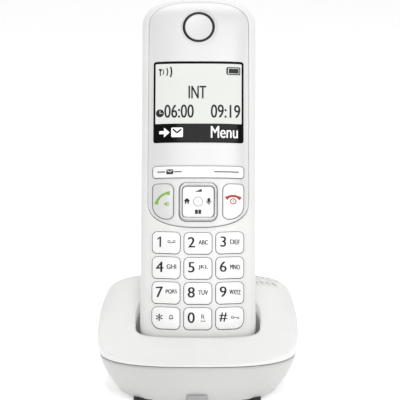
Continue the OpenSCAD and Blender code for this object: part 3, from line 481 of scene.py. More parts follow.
softkeyOutline = divided(boxOutline(38.6, keys["softkeyHeight"], 1.25, (0, softkeyY)), lineStep)
navOuter = keys["navSide"] + 2 * (keys["navClear"] + keys["bezelWidth"])
bezelOutline = divided(boxOutline(navOuter, navOuter + 0.6, 2.9, (0, navY)), lineStep)
padOutline = divided(boxOutline(keys["navSide"], keys["navSide"], 1.7, (0, navY)), lineStep)
displayOutline = divided(boxOutline(displayWidth, displayHeight, 1, (0, displayY)), lineStep)
earAngle = np.linspace(0, 2 * math.pi, 97)[:-1]
earCircle = np.stack([np.cos(earAngle), np.sin(earAngle)], 1)
earTilt = math.cos(math.atan(faceHeight(0, earY + 0.5) - faceHeight(0, earY - 0.5)))


def earLoop(r):
    return earCircle * [r, r * earTilt] + [0, earY]


def plateOutline(d):
    # the faceplate's closed line, moved outwards by d
    def end(start, y, power):
        a = np.linspace(start, start + math.pi, 97)
        return np.column_stack([(plate["half"] + d) * bend(np.cos(a), 2 / power),
                                y + (plate["round"] + d) * bend(np.sin(a), 2 / power)])
    low = end(math.pi, plate["low"], plate["lowPower"])
    high = end(0, plate["high"], plate["highPower"])
    return divided(np.concatenate([low, high]), 1.0)


# ---------- handset shells ----------

def frontShell():
    # side strip round the whole face, then a sheet below the faceplate's chin with a rim round each key
    strip = grid(sideStrip(innerPlan, faceHeight, 1))
    chin = plateOutline(handset["plateGap"])
    chin = chin[chin[:, 1] < plate["low"] - 0.01]
    low = innerPlan[innerPlan[:, 1] < chin[:, 1].max() - 0.2]
    right = low[low[:, 0] > 0]
    right = right[np.argsort(right[:, 1])]
    left = low[low[:, 0] < 0]
    left = left[np.argsort(-left[:, 1])]
    middle = low[low[:, 0] == 0]
    chinLine = chin[np.argsort(-chin[:, 0])]
    outer = np.concatenate([middle[:1], right, chinLine, left])
    holes = [numberOutline(c, r) for c in range(3) for r in range(4)]
    holes = [moveOut(h, keys["clear"]) for h in holes]
    fillet = 0.12
    flat, faces = sheet(outer, [moveOut(h, fillet) for h in holes], 1.3)
    parts = [strip, (lifted(flat, faceHeight), faces)]
    parts += [grid(holeRim(h, faceHeight, fillet, 1.9)) for h in holes]
    return joined(*parts)


piece("handsetFrontShell", frontShell(), shellAbs, "handset", "handset_shell", ["handset_front_shell"],
      outwards=handsetHeart, thickness=0.9, place=docked)
print("front shell")

cover = dict(y0=46.5, length=62, half=16.7, gap=0.35, fillet=0.3, grooves=8, groovePitch=1.6)
coverMiddle = (0, cover["y0"] + cover["length"] / 2)
coverLoop = divided(boxOutline(2 * cover["half"], cover["length"], 2, coverMiddle), 1.0)
backPlan = roundedPlan(20.6, bottom=4.6, top=151.2, bottomRound=12.8, topRound=13.2, bottomPower=2.5,
                       topPower=2.6)


def ringerSlot(k):
    half = 6.5 - 0.55 * abs(k) + 0.5
    return divided(boxOutline(2 * half, 1, 0.49, (0, 126 + 2.2 * k)), 0.8)


def rearShell():
    strip = grid(sideStrip(backPlan, backHeight, -1))
    outline = moveOut(coverLoop, cover["gap"])
    slots = [ringerSlot(k) for k in range(-3, 4)]
    down = lambda x, y: -backHeight(x, y)
    fillet, parts = 0.25, [strip]
    flat, faces = sheet(backPlan, [moveOut(outline, fillet)] + [moveOut(s, 0.15) for s in slots], 1.4)
    rims = [(lifted(flat, down), faces), grid(holeRim(outline, down, fillet, 2.2))]
    rims += [grid(holeRim(s, down, 0.15, 1.6)) for s in slots]
    for v, f in rims:
        parts.append((v * [1, 1, -1], f))
    return joined(*parts)


piece("handsetRearShell", rearShell(), shellAbs, "handset", "handset_shell", ["handset_rear_shell"],
      outwards=handsetHeart, thickness=0.9, place=docked)


def chargePad(side):
    # thin plate that follows the shell's lower end, four millimetres by five and a half
    x = side * 9 + np.linspace(-2, 2, 9)
    z = -5 + np.linspace(-2.75, 2.75, 13)
    x, z = [g.reshape(-1) for g in np.meshgrid(x, z)]
    h = handset
    n = h["power"]
    share = (np.abs(x / h["halfWidth"]) ** n + np.abs(z / backDepth(1)) ** n) ** (1 / n)
    y = h["bottomRound"] * (1 - (1 - share ** h["bottomPower"]) ** (1 / h["bottomPower"]))
    rows = lambda d: np.column_stack([x, y + d, z]).reshape(13, 9, 3)
    ring = lambda g: np.concatenate([g[0, :-1], g[:-1, -1], g[-1, :0:-1], g[:0:-1, 0]])
    out, back = rows(-0.03), rows(0.5)
    return joined(grid(out, around=False), grid(back, around=False), grid([ring(out), ring(back)]))


for side, name in ((-1, "chargePadLeft"), (1, "chargePadRight")):
    piece(name, chargePad(side), nickel, "handset", "contact_nickel",
          ["handset_charge_pads"] if side < 0 else (), place=docked)


def coverHeight(x, y):
    # the back's own form with eight finger grooves, shorter towards the lower ones
    z = -backHeight(x, y)
    for i in range(cover["grooves"]):
        half = 6 - 0.5 * i
        dy = (y - (cover["y0"] + cover["length"] - 7 - i * cover["groovePitch"])) / 0.42
        dx = np.maximum(0, np.abs(x) - half) / 0.42
        z = z - 0.4 * np.exp(-(dx * dx + dy * dy))
    return z


def batteryCover():
    fillet = cover["fillet"]
    flat, faces = sheet(moveOut(coverLoop, -fillet), [], 0.42)
    rim = holeRim(coverLoop[::-1], lambda x, y: -backHeight(x, y), fillet, 1.6)
    parts = [(lifted(flat, coverHeight), faces), grid(rim)]
    return joined(*[(v * [1, 1, -1], f) for v, f in parts])


piece("batteryCover", batteryCover(), shellAbs, "battery_cover", "handset_shell", ["battery_cover"],
      outwards=handsetHeart, thickness=0.9, place=docked)
print("rear shell and battery cover")

# ---------- faceplate, earpiece and display ----------

def plateHeight(x, y):
    # the face, with a shallow groove round the earpiece
    r = np.hypot(x, (y - earY) / earTilt)
    return faceHeight(x, y) - 0.16 * np.exp(-((r - earRadius - 0.75) / 0.28) ** 2)


def facePlate():
    fillet = 0.14
    outline = plateOutline(0)
    holes = [moveOut(h, keys["clear"]) for h in (softkeyOutline, callOutline(-1), callOutline(1))]
    holes += [moveOut(bezelOutline, 0.18), moveOut(displayOutline, 0.1)]
    rings = [earLoop(r) for r in (7.25, 7.4, 7.55, 7.65, 7.75, 7.9, 8.05, 8.3)]
    ear = earLoop(earRadius + 0.05)
    cuts = [moveOut(h, fillet) for h in holes] + [moveOut(ear, fillet / 2)]
    flat, faces = sheet(moveOut(outline, -fillet), cuts, 1.0, rings)
    parts = [(lifted(flat, plateHeight), faces)]
    parts += [grid(holeRim(h, plateHeight, fillet, 1.1)) for h in holes]
    parts.append(grid(holeRim(ear, plateHeight, fillet / 2, 1.0)))
    parts.append(grid(holeRim(outline[::-1], plateHeight, fillet, 1.0)))
    return joined(*parts)


piece("facePlate", facePlate(), shadedPlateAbs, "handset", "faceplate", ["faceplate"],
      outwards=belowFace, thickness=0.7, place=docked)


def onFace(y, p):
    # points drawn round an axis that stands square on the face at height y
    slope = math.atan(faceHeight(0, y + 0.5) - faceHeight(0, y - 0.5))
    c, s = math.cos(slope), math.sin(slope)
    return np.column_stack([p[:, 0], y + c * p[:, 1] - s * p[:, 2],
                            faceHeight(0, y) + s * p[:, 1] + c * p[:, 2]])


def turned(profile, count=96):
    # closed profile of (radius, height) carried round the axis
    a = np.linspace(0, 2 * math.pi, count + 1)[:-1]
    rings = [np.column_stack([r * np.cos(a), r * np.sin(a), np.full(count, z)]) for r, z in profile]
    return grid(rings)


def earRing():
    # half-round black ring: outer wall, rounded top, inner wall
    t = np.linspace(0, math.pi, 13)
    middle, half = earRadius - 0.475, 0.475
    profile = [(middle + half, -1.0)] + [(middle + half * math.cos(a), 0.16 * math.sin(a) ** 0.5) for a in t]
    profile += [(middle - half, -1.0), (middle + half, -1.0)]
    return turned(profile)


def earCap():
    # dished disc with a rounded rim
    r = earRadius - 1.0
    profile = [(0.001, -0.3)] + [(r * f, -0.3 + 0.26 * f * f) for f in np.linspace(0.15, 0.96, 9)]
    profile += [(r - 0.06, -0.06), (r, -0.14), (r, -1.0), (0.001, -1.0)]
    return turned(profile)


middleOfEar = docked(onFace(earY, np.array([[0, 0, -0.5]])))[0]
earParts = (("earpieceRing", earRing(), blackGloss, "black_gloss", "earpiece_ring"),
            ("earpieceDisc", earCap(), shadedPlateAbs, "earpiece_white", "earpiece_cap"))
for name, (verts, faces), material, slot, node in earParts:
    piece(name, (onFace(earY, verts), faces), material, "handset", slot, [node], outwards=middleOfEar,
          place=docked)

display = dict(border=0.75, topBorder=1.0, bar=8.3)
lcdLoop = divided(boxOutline(displayWidth - 2 * display["border"],
                             displayHeight - display["topBorder"] - display["bar"], 0.35,
                             (0, displayY + (display["bar"] - display["topBorder"]) / 2)), 0.9)


def windowSheet():
    # one smooth sheet; the faces inside the lit field get their own finish
    fillet = 0.12
    flat, faces = sheet(moveOut(displayOutline, -fillet), [], 1.2, [lcdLoop])
    lit = inside(flat[faces].mean(1), lcdLoop)
    rim = grid(holeRim(displayOutline[::-1], faceHeight, fillet, 1.0))
    verts, allFaces = joined((lifted(flat, faceHeight), faces), rim)
    return (verts, allFaces), list(lit.astype(int)) + [0] * len(rim[1])


windowPart, windowZones = windowSheet()
piece("displayWindow", windowPart, [windowBlack, lcdGlass], "handset", "display", ["display_window"],
      outwards=belowFace, thickness=0.6, place=docked, zones=windowZones)
print("faceplate, earpiece and display")

# ---------- keys ----------

def keyHeight(outline, rise, bulge):
    # the face raised by rise, with a low pillow over the key's own rectangle
    lo, hi = outline.min(0), outline.max(0)
    middle, half = (lo + hi) / 2, (hi - lo) / 2

    def height(x, y):
        u, v = (x - middle[0]) / half[0], (y - middle[1]) / half[1]
        pillow = (1 - np.clip(u * u, 0, 1)) * (1 - np.clip(v * v, 0, 1))
        return faceHeight(x, y) + rise + bulge * pillow - 0.3 * bulge
    return height


def keyCap(name, outline, material, node, slot, rise=keys["rise"], bulge=keys["bulge"], fillet=0.32,
           depth=2.6):
    height = keyHeight(outline, rise, bulge)
    part = capTop(outline, height, fillet, depth)
    # the two rows below the rounded edge, the wall and the underside, take the dark grey painted shade of the
    # gap round the key
    zones = [0] * (len(part[1]) - 2 * len(outline)) + [1] * (2 * len(outline))
    heart = docked(lifted(outline.mean(0)[None], height) - [0, 0, depth / 2])[0]
    piece(name, part, [material, gapShadeGrey], node, slot, [node], outwards=heart, place=docked, zones=zones)
    return height


keyNames = [["key_star", "key_0", "key_hash"], ["key_7", "key_8", "key_9"], ["key_4", "key_5", "key_6"],
            ["key_1", "key_2", "key_3"]]
heights = {}
for row in range(4):
    for col in range(3):
        node = keyNames[row][col]
        heights[node] = keyCap(node + "_cap", numberOutline(col, row), keyAbs, node, "key_white")
heights["talk_key"] = keyCap("talkKeyCap", callOutline(-1), talkAbs, "talk_key", "key_grey", fillet=0.4)
heights["end_key"] = keyCap("endKeyCap", callOutline(1), keyAbs, "end_key", "key_white", fillet=0.4)
heights["softkey_bar"] = keyCap("softkeyBarCap", softkeyOutline, keyAbs, "softkey_bar", "key_white",
                                bulge=0.15)
heights["nav_pad"] = keyCap("navPadCap", padOutline, keyAbs, "nav_pad", "key_white", rise=0.62, fillet=0.35,
                            depth=2.4)


def lengthwise(loop, n):
    # n points spaced evenly along a closed line
    ends = np.vstack([loop, loop[:1]])
    along = np.concatenate([[0], np.cumsum(np.linalg.norm(np.diff(ends, axis=0), axis=1))])
    s = np.linspace(0, along[-1], n, endpoint=False)
    return np.stack([np.interp(s, along, ends[:, k]) for k in (0, 1)], 1)


def bezelRing():
    # plated frame round the pad: outer wall, rounded lip, inner wall
    rise = keyHeight(bezelOutline, 0.72, 0.0)
    points, depth, lip, side = 160, 1.8, 0.35, keys["navSide"] + 0.36
    inner = divided(boxOutline(side, side, 1.85, (0, navY)), lineStep)
    outer, inner = lengthwise(bezelOutline, points), lengthwise(inner, points)
    rings = [lifted(outer, rise) - [0, 0, depth]]
    for a in np.linspace(0, math.pi, 9):
        f = (1 - math.cos(a)) / 2
        rings.append(lifted(outer + (inner - outer) * f, rise) + [0, 0, lip * math.sin(a) - lip])
    rings.append(lifted(inner, rise) - [0, 0, depth])
    rings.append(rings[0])
    return grid(rings)


piece("navBezel", bezelRing(), bezelMetal, "handset", "bezel_chrome", ["nav_bezel"], place=docked)
print("keys")

# ---------- printed marks ----------

def filled(*loops):
    # flat mesh of everything that an odd number of the closed lines encloses
    edges, start = [], 0
    for loop in loops:
        edges += [(start + i, start + (i + 1) % len(loop)) for i in range(len(loop))]
        start += len(loop)
    verts, _, faces, *_ = delaunay_2d_cdt([Vector(p) for p in np.concatenate(loops)], edges, [], 0, 1e-6)
    verts = np.array([(v.x, v.y) for v in verts])
    faces = np.array(faces)
    middles = verts[faces].mean(1)
    odd = sum(inside(middles, np.asarray(loop, float)).astype(int) for loop in loops) % 2 == 1
    return verts, faces[odd]


def stroke(path, width, ends=None):
    # closed line round a path; ends gives another width at its two tips
    path = np.asarray(path, float)
    t = np.gradient(path, axis=0)
    t /= np.linalg.norm(t, axis=1)[:, None]
    half = np.full(len(path), width / 2)
    if ends:
        along = np.abs(np.linspace(-1, 1, len(path)))
        half = half + (ends / 2 - half) * smooth(0.55, 0.95, along)
    side = np.column_stack([-t[:, 1], t[:, 0]]) * half[:, None]
    return np.concatenate([path + side, (path - side)[::-1]])


def arc(cx, cy, r, a0, a1, n=16):
    a = np.radians(np.linspace(a0, a1, n))
    return np.column_stack([cx + r * np.cos(a), cy + r * np.sin(a)])


def circle(cx, cy, r, n=32):
    return arc(cx, cy, r, 0, 360 * (1 - 1 / n), n)


def bar(x0, y0, x1, y1):
    return np.array([(x0, y0), (x1, y0), (x1, y1), (x0, y1)], float)


def lettering(text, centre, height, width=None):
    # the text as a flat mesh, fitted to a height and, where given, a width
    data = bpy.data.curves.new("lettering", "FONT")
    data.body = text
    obj = bpy.data.objects.new("lettering", data)
    bpy.context.scene.collection.objects.link(obj)
    bpy.context.view_layer.update()
    mesh = bpy.data.meshes.new_from_object(obj.evaluated_get(bpy.context.evaluated_depsgraph_get()))
    mesh.calc_loop_triangles()
    verts = np.array([v.co[:2] for v in mesh.vertices])
    faces = np.array([t.vertices[:] for t in mesh.loop_triangles])
    bpy.data.objects.remove(obj)
    bpy.data.curves.remove(data)
    bpy.data.meshes.remove(mesh)
    lo, hi = verts.min(0), verts.max(0)
    scale = height / (hi - lo)[1]
    scale = np.array([width / (hi - lo)[0] if width else scale, scale])
    return (verts - (lo + hi) / 2) * scale + centre, faces


def bold(text, centre, height, width=None, spread=0.1):
    # the text printed twice, a little apart
    return [lettering(text, (centre[0] + d, centre[1]), height, width) for d in (-spread, spread)]


def netCut(flat, faces, step=0.45):
    # the flat mesh cut along a square net, so that it can follow a curved face closely
    mesh = bpy.data.meshes.new("net")
    mesh.from_pydata(np.column_stack([flat, np.zeros(len(flat))]).tolist(), [], faces)
    bm = bmesh.new()
    bm.from_mesh(mesh)
    for k in (0, 1):
        for at in np.arange(flat[:, k].min() + step / 2, flat[:, k].max(), step):
            bmesh.ops.bisect_plane(bm, geom=bm.verts[:] + bm.edges[:] + bm.faces[:], dist=1e-5,
                                   plane_co=(at, at, 0), plane_no=(1 - k, k, 0))
    bmesh.ops.triangulate(bm, faces=bm.faces)
    bm.to_mesh(mesh)
    bm.free()
    flat = np.empty(3 * len(mesh.vertices))
    mesh.vertices.foreach_get("co", flat)
    corners = np.empty(3 * len(mesh.polygons), np.int32)
    mesh.polygons.foreach_get("vertices", corners)
    bpy.data.meshes.remove(mesh)
    return flat.reshape(-1, 3)[:, :2], corners.reshape(-1, 3)


def ink(name, marks, height, material, body, slot, lift=0.03, deep=0.12):
    flat, faces = netCut(*joined(*marks))
    part = prism(flat, faces, lambda x, y: height(x, y) + lift, lambda x, y: height(x, y) - deep)
    piece(name, part, material, body, slot, place=docked)


def envelope(cx, cy, w, h, line):
    # filled rectangle with a V left out of it
    v = [(cx - w / 2 + line, cy + h / 2 - line), (cx, cy - 0.05 * h), (cx + w / 2 - line, cy + h / 2 - line)]
    path = np.concatenate([np.linspace(v[0], v[1], 6), np.linspace(v[1], v[2], 6)[1:]])
    return filled(boxOutline(w, h, 0.12 * h, (cx, cy)), stroke(path, line))


def ringMark(cx, cy, r, line):
    return filled(circle(cx, cy, r), circle(cx, cy, r - line))


def keyMarks(node, middle):
    # the small symbol or the letters to the right of a digit
    x, y = middle[0] + 2.25, middle[1] + 0.3
    letters = {"key_2": "ABC", "key_3": "DEF", "key_4": "GHI", "key_5": "JKL", "key_6": "MNO",
               "key_7": "PQRS", "key_8": "TUV", "key_9": "WXYZ"}
    if node in letters:
        word = letters[node]
        return bold(word, (x, y), 2.0, 1.33 * len(word) if len(word) == 3 else 4.7, 0.07)
    if node == "key_1":  # message tape: two reels on a line
        return [ringMark(x - 1.1, y, 0.62, 0.26), ringMark(x + 1.1, y, 0.62, 0.26),
                filled(bar(x - 1.1, y - 0.62, x + 1.1, y - 0.36))]
    if node == "key_star":  # bell
        bell = np.concatenate([arc(x, y + 0.25, 0.72, 0, 180, 14), [(x - 0.8, y - 0.5), (x - 1.05, y - 0.78),
                               (x + 1.05, y - 0.78), (x + 0.8, y - 0.5)]])
        inner = np.concatenate([arc(x, y + 0.2, 0.42, 0, 180, 10), [(x - 0.5, y - 0.5), (x + 0.5, y - 0.5)]])
        return [filled(bell, inner), filled(circle(x, y - 1.05, 0.2, 14))]
    if node == "key_0":  # R over a space mark
        return [lettering("R", (x, y + 0.45), 1.9), filled(bar(x - 0.9, y - 1.6, x + 0.9, y - 1.35)),
                filled(bar(x - 0.9, y - 1.35, x - 0.68, y - 1.0)),
                filled(bar(x + 0.68, y - 1.35, x + 0.9, y - 1.0))]
    # the hash key carries a small key: a ring, a shaft and two teeth
    return [ringMark(x - 1.1, y, 0.62, 0.26), filled(bar(x - 0.5, y - 0.13, x + 1.7, y + 0.13)),
            filled(bar(x + 1.0, y - 0.55, x + 1.22, y - 0.13)),
            filled(bar(x + 1.45, y - 0.55, x + 1.67, y - 0.13))]


oneOutline = np.array([(-0.1, -2.25), (0.55, -2.25), (0.55, 2.25), (0.05, 2.25), (-1.15, 1.35), (-0.85, 0.95),
                       (-0.1, 1.5)])
digits = {"key_star": "*", "key_0": "0", "key_hash": "#", **{"key_%d" % n: str(n) for n in range(1, 10)}}
for row in range(4):
    for col in range(3):
        node = keyNames[row][col]
        middle = numberOutline(col, row).mean(0)
        tall = {"key_star": 3.0, "key_hash": 3.9}.get(node, 4.5)
        at = middle + [-2.75, 0.35]
        marks = keyMarks(node, middle)
        if node == "key_1":
            marks.append(filled(at + oneOutline))
        else:
            marks += bold(digits[node], at, tall)
        ink(node + "_print", marks, heights[node], blackInk, node, "black_gloss")


def handsetMark(cx, cy, r, a0, a1, thick, tips):
    # telephone receiver: an arc that widens at both ends
    return filled(stroke(arc(cx, cy, r, a0, a1, 26), thick, tips))


horn = np.array([(0.5, -1.7), (1.1, -1.7), (1.9, -2.4), (1.9, -0.2), (1.1, -0.9), (0.5, -0.9)])
horn = horn + [-callX, callY]
ink("talkKey_print", [handsetMark(-callX + 2.7, callY - 2.1, 5.6, 88, 172, 1.0, 1.7), filled(horn),
                      filled(bar(-callX + 2.3, callY - 2.1, -callX + 2.6, callY - 0.5))],
    heights["talk_key"], greenInk, "talk_key", "key_grey")
ink("endKey_print", [handsetMark(callX, callY - 2.4, 4.7, 49, 131, 1.0, 1.6),
                     ringMark(callX, callY - 0.05, 1.35, 0.4),
                     filled(bar(callX - 0.14, callY - 0.5, callX + 0.14, callY + 0.5))],
    heights["end_key"], redInk, "end_key", "key_white")
house = np.array([(-0.75, -1.1), (-0.22, -1.1), (-0.22, -0.4), (0.22, -0.4), (0.22, -1.1), (0.75, -1.1),
                  (0.75, 0), (1.2, 0), (0, 1.15), (-1.2, 0), (-0.75, 0)]) * 1.15 + [-4.75, navY + 0.3]
mic = [filled(boxOutline(1.25, 1.9, 0.6, (4.55, navY + 0.65))),
       filled(stroke(arc(4.55, navY + 0.45, 1.05, 190, 350, 18), 0.32)),
       filled(bar(4.38, navY - 0.95, 4.68, navY - 0.5)),
       filled(bar(3.95, navY - 1.15, 5.15, navY - 0.93))]
wedge = np.array([(-1.55, navY + 4.25), (1.55, navY + 4.25), (1.55, navY + 5.55)])
book = [filled(bar(-1.3, navY - 5.35, -0.12, navY - 3.55)), filled(bar(0.12, navY - 5.35, 1.3, navY - 3.55))]
ink("navPad_print", [filled(house), *mic, filled(wedge), *book], heights["nav_pad"], blackInk, "nav_pad",
    "black_gloss")
ink("navPad_circle", [ringMark(0, navY, 2.1, 0.22)], heights["nav_pad"], greyInk, "nav_pad", "key_grey",
    lift=0.02)
dashes = [filled(bar(x0, softkeyY - 0.25, x1, softkeyY + 0.25))
          for x0, x1 in ((-17.4, -14.1), (-10.4, -7.0), (6.8, 17.2))]
ink("softkeyBar_print", dashes, heights["softkey_bar"], greyInk, "softkey_bar", "black_gloss")
ink("softkeyBar_letter", [envelope(-12.1, softkeyY, 2.9, 2.1, 0.34)], heights["softkey_bar"], blackInk,
    "softkey_bar", "black_gloss")

# what the display shows
signal = [filled(np.array([(-17.3, 123.2), (-16.65, 122.1), (-16.65, 120.1), (-16.15, 120.1), (-16.15, 122.1),
                           (-15.5, 123.2)]))]
signal += [filled(stroke(arc(-17.2, 121.8, r, -a, a, 14), w))
           for r, a, w in ((2.2, 33, 0.4), (3.9, 26, 0.5), (5.6, 24, 0.65))]
cell = [filled(rounded([(11.9, 120.5), (17.9, 120.5), (17.9, 124.0), (11.9, 124.0)], [0.9, 0.3, 0.3, 0.9]),
               bar(12.6, 120.95, 17.45, 123.55)), filled(bar(12.95, 121.2, 17.2, 123.3))]
clock = [filled(circle(-16.5, 103.5, 1.75), bar(-16.65, 103.3, -16.35, 104.7),
                bar(-16.35, 103.3, -15.4, 103.6))]
ink("display_print", [*signal, *cell, *clock, *bold("INT", (-0.5, 112.7), 5.6, 7.4),
                      *bold("06:00", (-8.3, 104.3), 5.8, 12.4), *bold("09:19", (11.6, 104.3), 5.8, 12.4)],
    faceHeight, blackInk, "handset", "black_gloss", lift=0.02, deep=0.05)
arrow = np.array([(-16.7, 94.3), (-14.7, 94.3), (-14.7, 92.8), (-12.3, 94.95), (-14.7, 97.1), (-14.7, 95.6),
                  (-16.7, 95.6)])
ink("displayBar_print", [filled(arrow), envelope(-9.1, 94.95, 5.0, 4.2, 0.7),
                         *bold("Menu", (11.1, 95.1), 5.2, 11.4, 0.08)],
    faceHeight, whiteInk, "handset", "display", lift=0.02, deep=0.05)
print("printed marks")

# ---------- base ----------

base = dict(halfX=42.5, halfY=45, seam=16.2, waist=22.2, foot=1.2, lip=22.9, lipY=-15, step=0.7,
            planPower=2.9, edgePower=5.2, flankPower=2.2, drawX=9.3, drawY=3.5, crest=23.5, ramp=0.25,
            rise=0.0068, frontEdge=16.8, frontSlope=0.18, sideGap=1.9, faceGap=0.8)


def shoulder(y):
    r = np.minimum(y, base["crest"]) - base["lipY"]
    return base["lip"] + base["ramp"] * r + base["rise"] * np.maximum(0, r) ** 2


def band(x, y):
    s = 0.853 * (np.abs(x) - 25) + 0.521 * (y - base["lipY"] - 3)
    return (1 - smooth(-6, 6, s)) * (1 - smooth(-8, 8, y))


def flank(z):
    return (np.maximum(0, base["waist"] - z) / (base["waist"] - base["foot"])) ** base["flankPower"]


def planHalves(z):
    # half the width and half the depth of the flank at height z
    f = flank(z)
    return base["halfX"] - base["drawX"] * f, base["halfY"] - base["drawY"] * f


def sidePoint(a, z):
    # plan point of the flank at angle a and height z
    halfX, halfY = planHalves(z)
    power = 2 / base["planPower"]
    return np.stack([halfX * bend(np.cos(a), power), halfY * bend(np.sin(a), power)], -1)


def planShare(x, y, halfX, halfY):
    # how far out a plan point lies: 0 in the middle, 1 on the line with these half sizes
    n = base["planPower"]
    return ((np.abs(x) / halfX) ** n + (np.abs(y) / halfY) ** n) ** (1 / n)


def fullTop(x, y):
    # the top before it rounds over: the front band's slope blended into the shoulders
    b = band(x, y)
    return b * (base["lip"] + base["frontSlope"] * (y - base["lipY"])) + (1 - b) * shoulder(y)


def edgeHeight(a):
    # the flank ends at the waist, or a little below the top where that is lower
    p = sidePoint(a, base["waist"])
    belowTop = fullTop(p[..., 0], p[..., 1]) - base["step"]
    return np.maximum(base["frontEdge"], np.minimum(base["waist"], belowTop))


def planAngle(x, y, halfX, halfY):
    k = base["planPower"] / 2
    return np.arctan2(bend(y / halfY, k), bend(x / halfX, k))


def topHeight(x, y):
    # height of the housing's top over a plan point: the flank's edge plus a very square superelliptic rise
    a = planAngle(x, y, base["halfX"], base["halfY"])
    for _ in range(8):
        a = planAngle(x, y, *planHalves(edgeHeight(a)))
    edge = edgeHeight(a)
    return risen(x, y, edge, planShare(x, y, *planHalves(edge)))


def risen(x, y, edge, share):
    # height over (x, y), which lies at a share of the way from the middle to an edge of the given height
    return edge + (fullTop(x, y) - edge) * closing(share, base["edgePower"])


# the cradle: the handset's fullest section with its gaps, carried along the leaning axis
sectionAngle = np.linspace(0, 2 * math.pi, 241)[:-1]
sectionX = (handset["halfWidth"] + base["sideGap"]) * bend(np.cos(sectionAngle), 2 / handset["power"])
sectionDepth = np.where(np.sin(sectionAngle) > 0, handset["crown"], handset["back"]) + base["faceGap"]
sectionLoop = np.column_stack([sectionX, sectionDepth * bend(np.sin(sectionAngle), 2 / handset["power"])])


def inCradle(section, v):
    # points of the handset's cross-section at distance v along its axis, in the base's own plan frame
    h, x, z = handset, section[:, 0], section[:, 1]
    return np.column_stack([x, h["dockY"] + leanSin * v - leanCos * z,
                            h["dockZ"] + leanCos * v + leanSin * z])


def alongCradle(v):
    return inCradle(sectionLoop, v)


def cradleEdge():
    # distance along the axis at which each wall line leaves the housing, found by halving
    lo, hi = np.zeros(len(sectionX)), np.full(len(sectionX), 70.0)
    for _ in range(40):
        mid = (lo + hi) / 2
        p = alongCradle(mid)
        above = p[:, 2] > topHeight(p[:, 0], p[:, 1])
        hi = np.where(above, mid, hi)
        lo = np.where(above, lo, mid)
    return (lo + hi) / 2


def placed(p):
    return p + [0, handset["shiftY"], 0]


flankAngle = np.linspace(0, 2 * math.pi, 361)[:-1]


vents = dict(x=11.5, y=20.9, pitch=2.6, rowPitch=2.8, rows=2, count=9, turn=-28)


def ventSlot(row, i):
    # short slanting slot of the double row behind the cradle
    turn = math.radians(vents["turn"])
    x, y = boxOutline(2.3, 0.85, 0.42).T
    c, s = math.cos(turn), math.sin(turn)
    return np.column_stack([x * c - y * s + vents["x"] + i * vents["pitch"],
                            x * s + y * c + vents["y"] + row * vents["rowPitch"]])


def baseTop():
    edge = edgeHeight(flankAngle)
    seamRound, lowest = 0.25, base["seam"] + 0.05
    low = sidePoint(flankAngle, lowest)
    rings = [np.column_stack([low * (1 - 0.012), np.full(len(low), lowest)])]
    for k in np.linspace(0, 1, 7):
        z = base["seam"] + seamRound + (edge - base["seam"] - seamRound) * k
        rings.append(np.column_stack([sidePoint(flankAngle, z), z]))
    rim = sidePoint(flankAngle, edge)
    inner = 0.84
    for t in np.linspace(0, 1, 26)[1:]:
        share = 1 - (1 - inner) * t ** 4.2
        plan = rim * share
        z = risen(plan[:, 0], plan[:, 1], edge, share) if t < 1 else topHeight(plan[:, 0], plan[:, 1])
        rings.append(np.column_stack([plan, z]))
    wall = grid(rings)
    v = cradleEdge()
    opening = alongCradle(v)
    fillet = 0.9
    # the section runs clockwise in plan, and every loop here runs anticlockwise
    v, opening, section = v[::-1], opening[::-1], sectionLoop[::-1]
    lip, walls = opening[:, :2], []
    for a in np.linspace(0, math.pi / 2, 7):
        out = moveOut(lip, fillet * (1 - math.sin(a)))
        walls.append(lifted(out, topHeight) - [0, 0, fillet * (1 - math.cos(a))])
    floorV = -0.6
    for k in np.linspace(0, 1, 8):
        drop = fillet + (v - floorV - fillet) * k
        walls.append(opening - np.column_stack([np.zeros(len(v)), leanSin * drop, leanCos * drop]))
    ventLoops = [ventSlot(row, i) for row in range(vents["rows"]) for i in range(vents["count"])]
    flat, faces = sheet(rim * inner, [moveOut(lip, fillet)] + [moveOut(s, 0.15) for s in ventLoops], 1.5)
    parts = [wall, (lifted(flat, topHeight), faces), grid(walls)]
    parts += [grid(holeRim(s, topHeight, 0.15, 1.5)) for s in ventLoops]
    # the well's floor, with a slot for each charging spring
    slots = [boxOutline(4.2, 11, 0.4, (9 * side, -5)) for side in (-1, 1)]
    flat, faces = sheet(section[::-1], slots, 1.6)
    parts.append((inCradle(flat, floorV), faces))
    parts += [grid([inCradle(loop, floorV), inCradle(loop, floorV - 1.6)]) for loop in slots]
    return joined(*parts)


piece("baseUpperHousing", baseTop(), baseAbs, "base", "base_shell", ["base_upper_shell"],
      outwards=(0, handset["shiftY"], 10), thickness=1.2, place=placed)


lower = dict(top=base["seam"] - 0.12, round=1.0, jackX=12, jackWidth=13.2, jackLow=3.6, jackHigh=14.2,
             wall=1.6)


def flankAngleAt(x, z):
    # angle round the rear of the plan at which the flank passes through x at height z
    return np.arccos(bend(x / planHalves(z)[0], base["planPower"] / 2))


